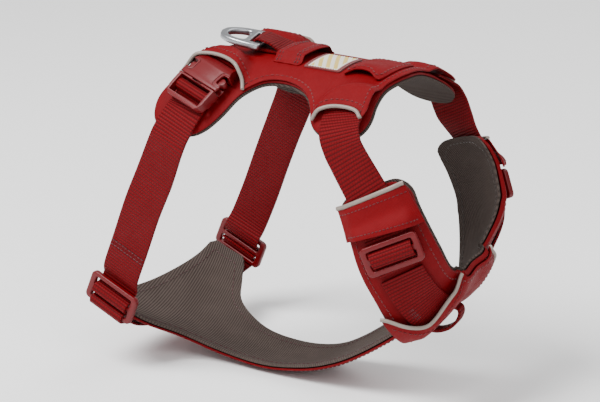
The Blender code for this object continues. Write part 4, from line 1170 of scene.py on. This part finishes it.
def girth_path():
    """The girth strap's stations, from the plug's bar down to the slider's bar."""
    across = girth_frame()[1]
    buckle_across = -buckle_frame()[1]
    threaded = ((-5.9, 1.0), (-5.9, 2.6), (-6.4, 4.3), (-8.3, 5.1), (-10.4, 4.4), (-11.2, 2.6),
                (-12.0, 0.7), (-14.0, -0.25))
    strap = [(buckle_point(0.0, b, c), buckle_across) for b, c in threaded]
    for x, s, h in ((-55.0, 58.0, 5.4), (-57.6, 65.0, 5.2), (-60.2, 72.0, 5.1), (-62.8, 79.0, 4.3)):
        down = (back(x, s + 0.5, h) - back(x, s - 0.5, h)).normalized()
        lean = BUCKLE_LEAN + (GIRTH_LEAN - BUCKLE_LEAN) * ramp(s, 55.0, 80.0)
        strap.append((back(x, s, h), Vector((math.cos(lean), 0.0, 0.0)) + down * math.sin(lean)))
    body = ((-70.5, 62.4, -61.5), (-79.0, 63.2, -81.0), (-88.0, 63.2, -104.0), (-96.0, 62.4, -123.0))
    strap += [(Vector(p), across) for p in body]
    strap += [(girth_point(0.0, b, c), across)
              for b, c in ((10.4, -3.2), (7.4, -3.1), (5.2, -2.8), (3.7, -1.9), (2.9, -0.2), (2.6, 1.5),
                           (1.7, 2.8), (0.0, 3.1), (-1.7, 2.8), (-2.6, 1.5), (-2.8, -0.2), (-2.7, -1.6))]
    return strap


BELLY_HALF = ((-121.0, 0.0), (-121.0, 20.0), (-120.5, 40.0), (-119.5, 54.0), (-116.5, 57.0),
              (-100.0, 57.0), (-95.0, 55.0), (-89.5, 46.0), (-78.0, 31.0), (-54.0, 22.5),
              (-25.0, 21.5), (0.0, 21.5),
              (30.0, 21.0), (52.0, 20.0), (64.0, 20.0), (66.5, 17.0), (67.0, 0.0))


def build_girth():
    """Each girth strap with its slider and the loop that holds it to the belly panel."""
    across = girth_frame()[1]
    rows = []
    for side, mirror in SIDES:
        plate = bend(slider_plate(*GIRTH_SLIDER_SIZE, GIRTH_BAR, 27.0), girth_point)
        show(f"girth_triglide_{side}", plate, PLASTIC, nodes=[f"girth_slider_{side}"], mirror=mirror,
             bevel=0.0)
        strap = ribbon(girth_path(), WEBBING, WEBBING_THICK, lanes=14, step=1.3)
        show(f"girth_webbing_{side}", strap, WEB, f"plug_{side}", [f"girth_strap_{side}"], mirror=mirror,
             between=((-96.0, 62.4, -118.0), back(-57.6, 65.0, 5.2)))
        for z_at, x_at in ((-108.0, -89.5), (-110.5, -90.5)):
            middle = Vector((x_at, 64.2, z_at))
            rows.append(([middle + across * a for a in range(-11, 12)], mirror))
        path = [(belly(-106.0, y, 4.9), across) for y in (34.0, 40.0, 46.0, 51.0)]
        path += [(girth_point(0.0, b, c), across)
                 for b, c in ((-11.4, -2.4), (-10.7, 0.0), (-9.8, 1.9), (-7.6, 2.75), (-5.6, 2.1),
                              (-4.9, 0.6), (-4.8, -1.2))]
        show(f"belly_loop_{side}", ribbon(path, WEBBING - 1.0, 1.2, lanes=12, step=1.2), WEB,
             nodes=[f"wing_loop_{side}"], mirror=mirror, bevel=0.25)
    sew("girth_stitches", rows, DARK_THREAD, pitch=2.4, length=1.8, radius=0.25)


def build_belly():
    """The belly panel: its mesh lining, its outer cloth and the seam round both."""
    outline = smooth_line(BELLY_HALF, 3.0)

    def layer(half, low, thick, rim, size):
        closed = mirrored_outline(half)
        distance = rim_distance(closed)
        plate = flat_plate([closed], 0.0, thick)
        return bend(tile(plate, size, size), lambda x, y, z: belly(
            x, y, low + z + (z / thick * 2.0 - 1.0) * -rim * ramp(distance(x, y), 2.0, 0.0)))

    show("belly_mesh", layer(outline, 0.0, 1.9, 0.25, 2.8), BELLY_MESH, nodes=["belly_lining"], bevel=0.4,
         cut=mirrored_outline(outline))
    show("belly_cloth", layer(inset(outline, 0.6), 1.9 + GAP, 1.6, 0.25, 2.8), BELLY_FABRIC,
         nodes=["belly_shell"], bevel=0.4, cut=mirrored_outline(inset(outline, 0.6)))
    rows = []
    seam = inset(outline, 5.0)
    for side, mirror in SIDES:
        rows.append(([belly(p.x, p.y, -0.15) for p in seam], mirror))
        rows.append(([belly(p.x, p.y, 3.95) for p in seam], mirror))
    sew("belly_stitches", rows, DARK_THREAD, pitch=3.2, length=2.4, radius=0.25)


# ---- collar -------------------------------------------------------------------------------------
Q_MOUTH = 27.0
Q_PAD_LOW = 19.0
Q_SLIDER = 68.0
Q_BAND = 79.0
Q_PAD_TOP = 98.0
SLEEVE_SLANT = 1.8
MOUTH_REACH = 11.0
MOUTH_DIP = 2.0
Q_STRAP_TOP = 150.0
COLLAR_PAD_LOW = LINING_THICK + 0.65
COLLAR_PAD_THICK = 2.95
COLLAR_PAD_TOP = COLLAR_PAD_LOW + COLLAR_PAD_THICK
STRAP_HEIGHT = COLLAR_PAD_TOP + GAP + WEBBING_THICK / 2.0
SLIDER_HEIGHT = STRAP_HEIGHT + WEBBING_THICK / 2.0 + GAP + 1.6


def collar_layer(outline, low, thick, size=2.4, rim=0.4, puff=0.0):
    distance = rim_distance(outline)
    plate = flat_plate([outline], 0.0, thick)

    def surface(q, w, z):
        d = distance(q, w)
        soft = puff * ramp(d, 0.0, 7.0) - rim * ramp(d, 2.0, 0.0)
        return collar(q, w, low + z + soft * z / thick)

    return bend(tile(plate, size, size), surface)


def pad_outline(shrink):
    """Shoulder pad in collar arc and width, drawn in by shrink."""
    half_low, half_mid, half_top = 25.5 - shrink, 23.5 - shrink, 22.0 - shrink
    low, top = Q_PAD_LOW + shrink, Q_PAD_TOP + 4.5 - shrink
    line = [Vector((low, -half_low)), Vector((40.0, 0.6 - half_mid)), Vector((62.0, -half_mid)),
            Vector((84.0, -half_top)), Vector((top - 5.0, -half_top)), Vector((top, -half_top + 5.0)),
            Vector((top + 0.9, -8.0)), Vector((top - 0.9, 8.0)), Vector((top - 3.0, half_top - 5.0)),
            Vector((top - 9.0, half_top)), Vector((84.0, half_top)), Vector((62.0, half_mid)),
            Vector((40.0, half_mid - 0.6)), Vector((low, half_low))]
    return smooth_line(line, 2.5)


def mouth_place(w):
    """Arc at which the chest piece's mouth edge lies, at w across the collar."""
    return Q_MOUTH + MOUTH_REACH * ramp(w, -6.0, -27.0) - MOUTH_DIP * ramp(abs(w + 4.0), 18.0, 0.0)


def chest_cover_low(q, w):
    opening = 1.2 + 2.3 * ramp(abs(q), 6.0, 24.0)
    return COLLAR_PAD_TOP + 3.0 * GAP + opening * ramp(abs(w), 25.5, 15.0)


def neck_slider_point(a, b, c):
    centre, across, normal = collar_frame(Q_SLIDER)
    return centre + normal * (SLIDER_HEIGHT + c) + across * a + normal.cross(across) * b


def sleeve_height(q, w):
    over_slider = 3.4 * ramp(q, Q_BAND + 10.0, Q_BAND + 1.0) * ramp(abs(w), 22.0, 17.0)
    return STRAP_HEIGHT + WEBBING_THICK / 2.0 + GAP + 0.8 + over_slider - 2.0 * ramp(abs(w), 14.5, 21.0)


def build_shoulder_pad(side, mirror):
    """Lining and pad; returns the seam on the outside and the one on the lining."""
    show(f"shoulder_mesh_{side}", collar_layer(pad_outline(0.0), 0.0, LINING_THICK), MESH_LINING,
         nodes=[f"shoulder_lining_{side}"], mirror=mirror, bevel=0.4, cut=pad_outline(0.0))
    pad = collar_layer(pad_outline(0.7), COLLAR_PAD_LOW, COLLAR_PAD_THICK, rim=0.8, puff=0.2)
    show(f"shoulder_cloth_{side}", pad, PADDING, nodes=[f"shoulder_pad_{side}"], mirror=mirror,
         bevel=0.6, segments=3)
    edge = pad_outline(4.2)
    return [[collar(p.x, p.y, height) for p in edge] for height in (COLLAR_PAD_TOP + 0.1, -0.1)]


def build_neck_strap(side, mirror):
    """Webbing from under the saddle down to the slider."""
    strap = []
    q = Q_SLIDER - 9.0
    while q < Q_STRAP_TOP:
        centre, cross, normal = collar_frame(q)
        lift = STRAP_HEIGHT - 0.7 * ramp(q, 106.0, 122.0)
        strap.append((centre + normal * lift, cross))
        q += 6.0
    show(f"neck_webbing_{side}", ribbon(strap, WEBBING, WEBBING_THICK, lanes=14, step=1.5), WEB,
         nodes=[f"neck_strap_{side}"], mirror=mirror, bevel=0.3)


def build_sleeve(side, mirror):
    """The cloth sleeve over the slider's upper end and its piping; returns its two seams."""
    outline = [Vector((Q_BAND + SLEEVE_SLANT, -22.8)), Vector((Q_BAND, 0.0)),
               Vector((Q_BAND - SLEEVE_SLANT, 22.8)), Vector((88.0, 21.8)),
               Vector((Q_PAD_TOP - SLEEVE_SLANT, 21.0)), Vector((Q_PAD_TOP + SLEEVE_SLANT, -21.0)),
               Vector((88.0, -22.0))]
    distance = rim_distance(outline)
    sleeve = bend(tile(flat_plate([outline], 0.0, 1.2), 1.6, 1.6), lambda q, w, z: collar(
        q, w, sleeve_height(q, w) + z - 0.35 * ramp(distance(q, w), 1.6, 0.0) * z))
    show(f"sleeve_{side}", sleeve, FABRIC, nodes=[f"pad_sleeve_{side}"], mirror=mirror, bevel=0.35,
         cut=outline)
    seams = []
    for start in (Q_BAND + 2.4, Q_PAD_TOP - 3.0):
        line = [(start - SLEEVE_SLANT * w / 21.0, w) for w in range(-20, 21)]
        seams.append([collar(q, w, sleeve_height(q, w) + 1.25) for q, w in line])
    line = [(Q_PAD_TOP - SLEEVE_SLANT * w / 14.0 + PIPING_RADIUS + 0.1, w * 1.5)
            for w in range(-14, 15)]
    points = [collar(q, w, sleeve_height(q, w) + 0.1) for q, w in line]
    show(f"sleeve_trim_{side}", cord(points, PIPING_RADIUS, 4), PIPING, nodes=[f"sleeve_piping_{side}"],
         mirror=mirror, bevel=0.0)
    return seams


def build_neck_slider(side, mirror):
    """The neck slider, its fold of webbing and the run down into the chest piece."""
    body = f"slider_{side}"
    plate = bend(slider_plate(33.5, 17.0, 3.0, 26.5), neck_slider_point)
    show(f"neck_triglide_{side}", plate, PLASTIC, body, [f"neck_slider_{side}"], mirror=mirror, bevel=0.0)
    across = collar_frame(Q_SLIDER)[1]
    bight = [(neck_slider_point(0.0, b, c), across)
             for b, c in ((-4.0, -1.0), (-4.0, 0.6), (-3.0, 2.3), (0.0, 2.9), (3.0, 2.3), (4.0, 0.6),
                          (4.0, -1.0))]
    show(f"bight_{side}", ribbon(bight, WEBBING, 1.2, lanes=12, step=0.6), WEB, body,
         [f"slider_bight_{side}"], mirror=mirror, bevel=0.25)

    run = []
    for q in (57.0, 50.0, 43.0, 36.0, 29.0, 22.0, 17.0):
        centre, cross, normal = collar_frame(q)
        run.append((centre + normal * (STRAP_HEIGHT + 0.3) - cross * 0.8, cross))
    show(f"chest_run_{side}", ribbon(run, WEBBING, WEBBING_THICK, lanes=14, step=1.3), WEB, body,
         [f"chest_webbing_{side}"], mirror=mirror, between=(run[-2][0], run[0][0]))


def build_mouth(side, mirror):
    """Piping on the edge of the chest piece's mouth; returns the bar tack beside it."""
    points = [collar(mouth_place(w) + PIPING_RADIUS + 0.2, w, chest_cover_low(mouth_place(w), w) + 0.9)
              for w in range(-25, 26)]
    show(f"mouth_trim_{side}", cord(points, PIPING_RADIUS, 4), PIPING, nodes=[f"mouth_piping_{side}"],
         mirror=mirror, bevel=0.0)
    return [[collar(q * 0.5, w - 18.0, STRAP_HEIGHT + 1.2) for q in range(62, 74)] for w in range(6, 12)]


def build_chest():
    """The chest piece: lining, pad and cover; returns the cover's seams."""
    rows = []
    low = Q_PAD_LOW - GAP
    body = smooth_line([(-low, -25.5), (0.0, -24.0), (low, -25.5)], 2.5)
    body += smooth_line([(low, 25.5), (0.0, 24.0), (-low, 25.5)], 2.5)
    show("chest_mesh", collar_layer(body, 0.0, LINING_THICK), MESH_LINING, nodes=["chest_lining"], bevel=0.4,
         cut=body)
    show("chest_cloth", collar_layer(body, COLLAR_PAD_LOW, COLLAR_PAD_THICK, rim=0.3), PADDING,
         nodes=["chest_pad"], bevel=0.4)
    left_mouth = [Vector((mouth_place(w), w)) for w in (-25.0, *range(-23, 25, 2), 26.0)]
    right_mouth = [Vector((-p.x, p.y)) for p in reversed(left_mouth)]
    cover = left_mouth + smooth_line([(20.0, 25.0), (0.0, 24.5), (-20.0, 25.0)], 2.5)
    cover += right_mouth + smooth_line([(-27.0, -25.4), (-12.0, -25.0), (12.0, -25.0), (27.0, -25.4)], 2.5)
    distance = rim_distance(cover)
    plate = bend(tile(flat_plate([cover], 0.0, 1.5), 1.8, 1.8), lambda q, w, z: collar(
        q, w, chest_cover_low(q, w) + z - 0.3 * ramp(distance(q, w), 1.6, 0.0) * z))
    show("chest_panel", plate, FABRIC, nodes=["chest_cover"], bevel=0.4, cut=cover)
    for place in (-1.0, 1.0):
        rows.append([collar(q, place * 23.0, chest_cover_low(q, 23.0) + 1.5) for q in range(-22, 23)])
        line = [(mouth_place(w) - 3.2, w) for w in range(-22, 23)]
        rows.append([collar(place * q, w, chest_cover_low(q, w) + 1.55) for q, w in line])
    return rows


def build_front_loop():
    """The leash loop on the chest: a narrow bow of webbing."""
    front = collar(0.0, -3.0, chest_cover_low(0.0, -3.0) + 1.5 + GAP)
    lower = collar(0.0, -24.5, chest_cover_low(0.0, -24.5) + 1.5 + GAP)
    out = collar_frame(0.0)[2]
    span = lower - front
    arc = [front + span * share + out * lift
           for share, lift in ((0.0, 1.0), (-0.05, 3.2), (0.04, 6.0), (0.28, 8.4), (0.58, 8.8), (0.88, 6.8),
                               (1.05, 3.6), (1.0, 1.0))]
    loop = [(p, Vector((0.0, 1.0, 0.0))) for p in arc]
    show("leash_loop", ribbon(loop, 6.0, 1.8, lanes=6, step=0.7), WEB, nodes=["front_loop"], bevel=0.4,
         segments=3)


def build_collar():
    """The whole collar, side by side, then its stitching."""
    rows, dark_rows, lining_rows = [], [], []
    for side, mirror in SIDES:
        seam, lining_seam = build_shoulder_pad(side, mirror)
        rows.append((seam, mirror))
        lining_rows.append((lining_seam, mirror))
        build_neck_strap(side, mirror)
        dark_rows += [(seam, mirror) for seam in build_sleeve(side, mirror)]
        build_neck_slider(side, mirror)
        dark_rows += [(seam, mirror) for seam in build_mouth(side, mirror)]
    rows += [(seam, False) for seam in build_chest()]
    build_front_loop()
    sew("collar_stitches", rows, THREAD)
    sew("collar_lining_stitches", lining_rows, GREY_THREAD)
    sew("collar_dark_stitches", dark_rows, DARK_THREAD, pitch=2.2, length=1.6, radius=0.24)


# ---- room ---------------------------------------------------------------------------------------
def build_room():
    """A pale floor, soft light and the camera."""
    bm = bmesh.new()
    bmesh.ops.create_grid(bm, x_segments=1, y_segments=1, size=4.0)
    floor = linked("floor", mesh_from("floor", bm))
    floor.location.z = START_BOUNDS[0].z - 0.0005
    floor.data.materials.append(Graph("pale_floor", roughness=0.9).apply_surface((0.92, 0.92, 0.92, 1.0)))
    world = bpy.data.worlds.new("studio")
    world.use_nodes = True
    world.node_tree.nodes["Background"].inputs["Color"].default_value = (1.0, 1.0, 1.0, 1.0)
    world.node_tree.nodes["Background"].inputs["Strength"].default_value = 0.62
    bpy.context.scene.world = world
    for name, at, size, power in (("key", (-0.5, -0.8, 1.3), 0.9, 52.0),
                                  ("fill", (1.1, -0.8, 0.9), 1.0, 12.0),
                                  ("back", (0.1, 1.1, 1.0), 1.0, 8.0)):
        data = bpy.data.lights.new(name, "AREA")
        data.size = size
        data.energy = power
        aimed(name, data, at, (0.0, -0.01, -0.08))
    data = bpy.data.cameras.new("camera")
    data.lens = 171.55
    data.clip_start, data.clip_end = 0.05, 20.0
    camera = aimed("camera", data, (0.8806, -1.2783, 0.3953), (0.0030, -0.02495, -0.07246))
    bpy.context.scene.camera = camera


def aimed(name, data, place, target):
    """A lamp or camera at a place, turned towards its target."""
    obj = linked(name, data)
    obj.location = place
    obj.rotation_mode = "QUATERNION"
    obj.rotation_quaternion = (Vector(target) - Vector(place)).to_track_quat("-Z", "Y")
    return obj


build_saddle()
build_leash_ring()
build_ring_tab()
build_label()
build_pocket()
build_buckles()
build_girth()
build_belly()
build_collar()
build_room()
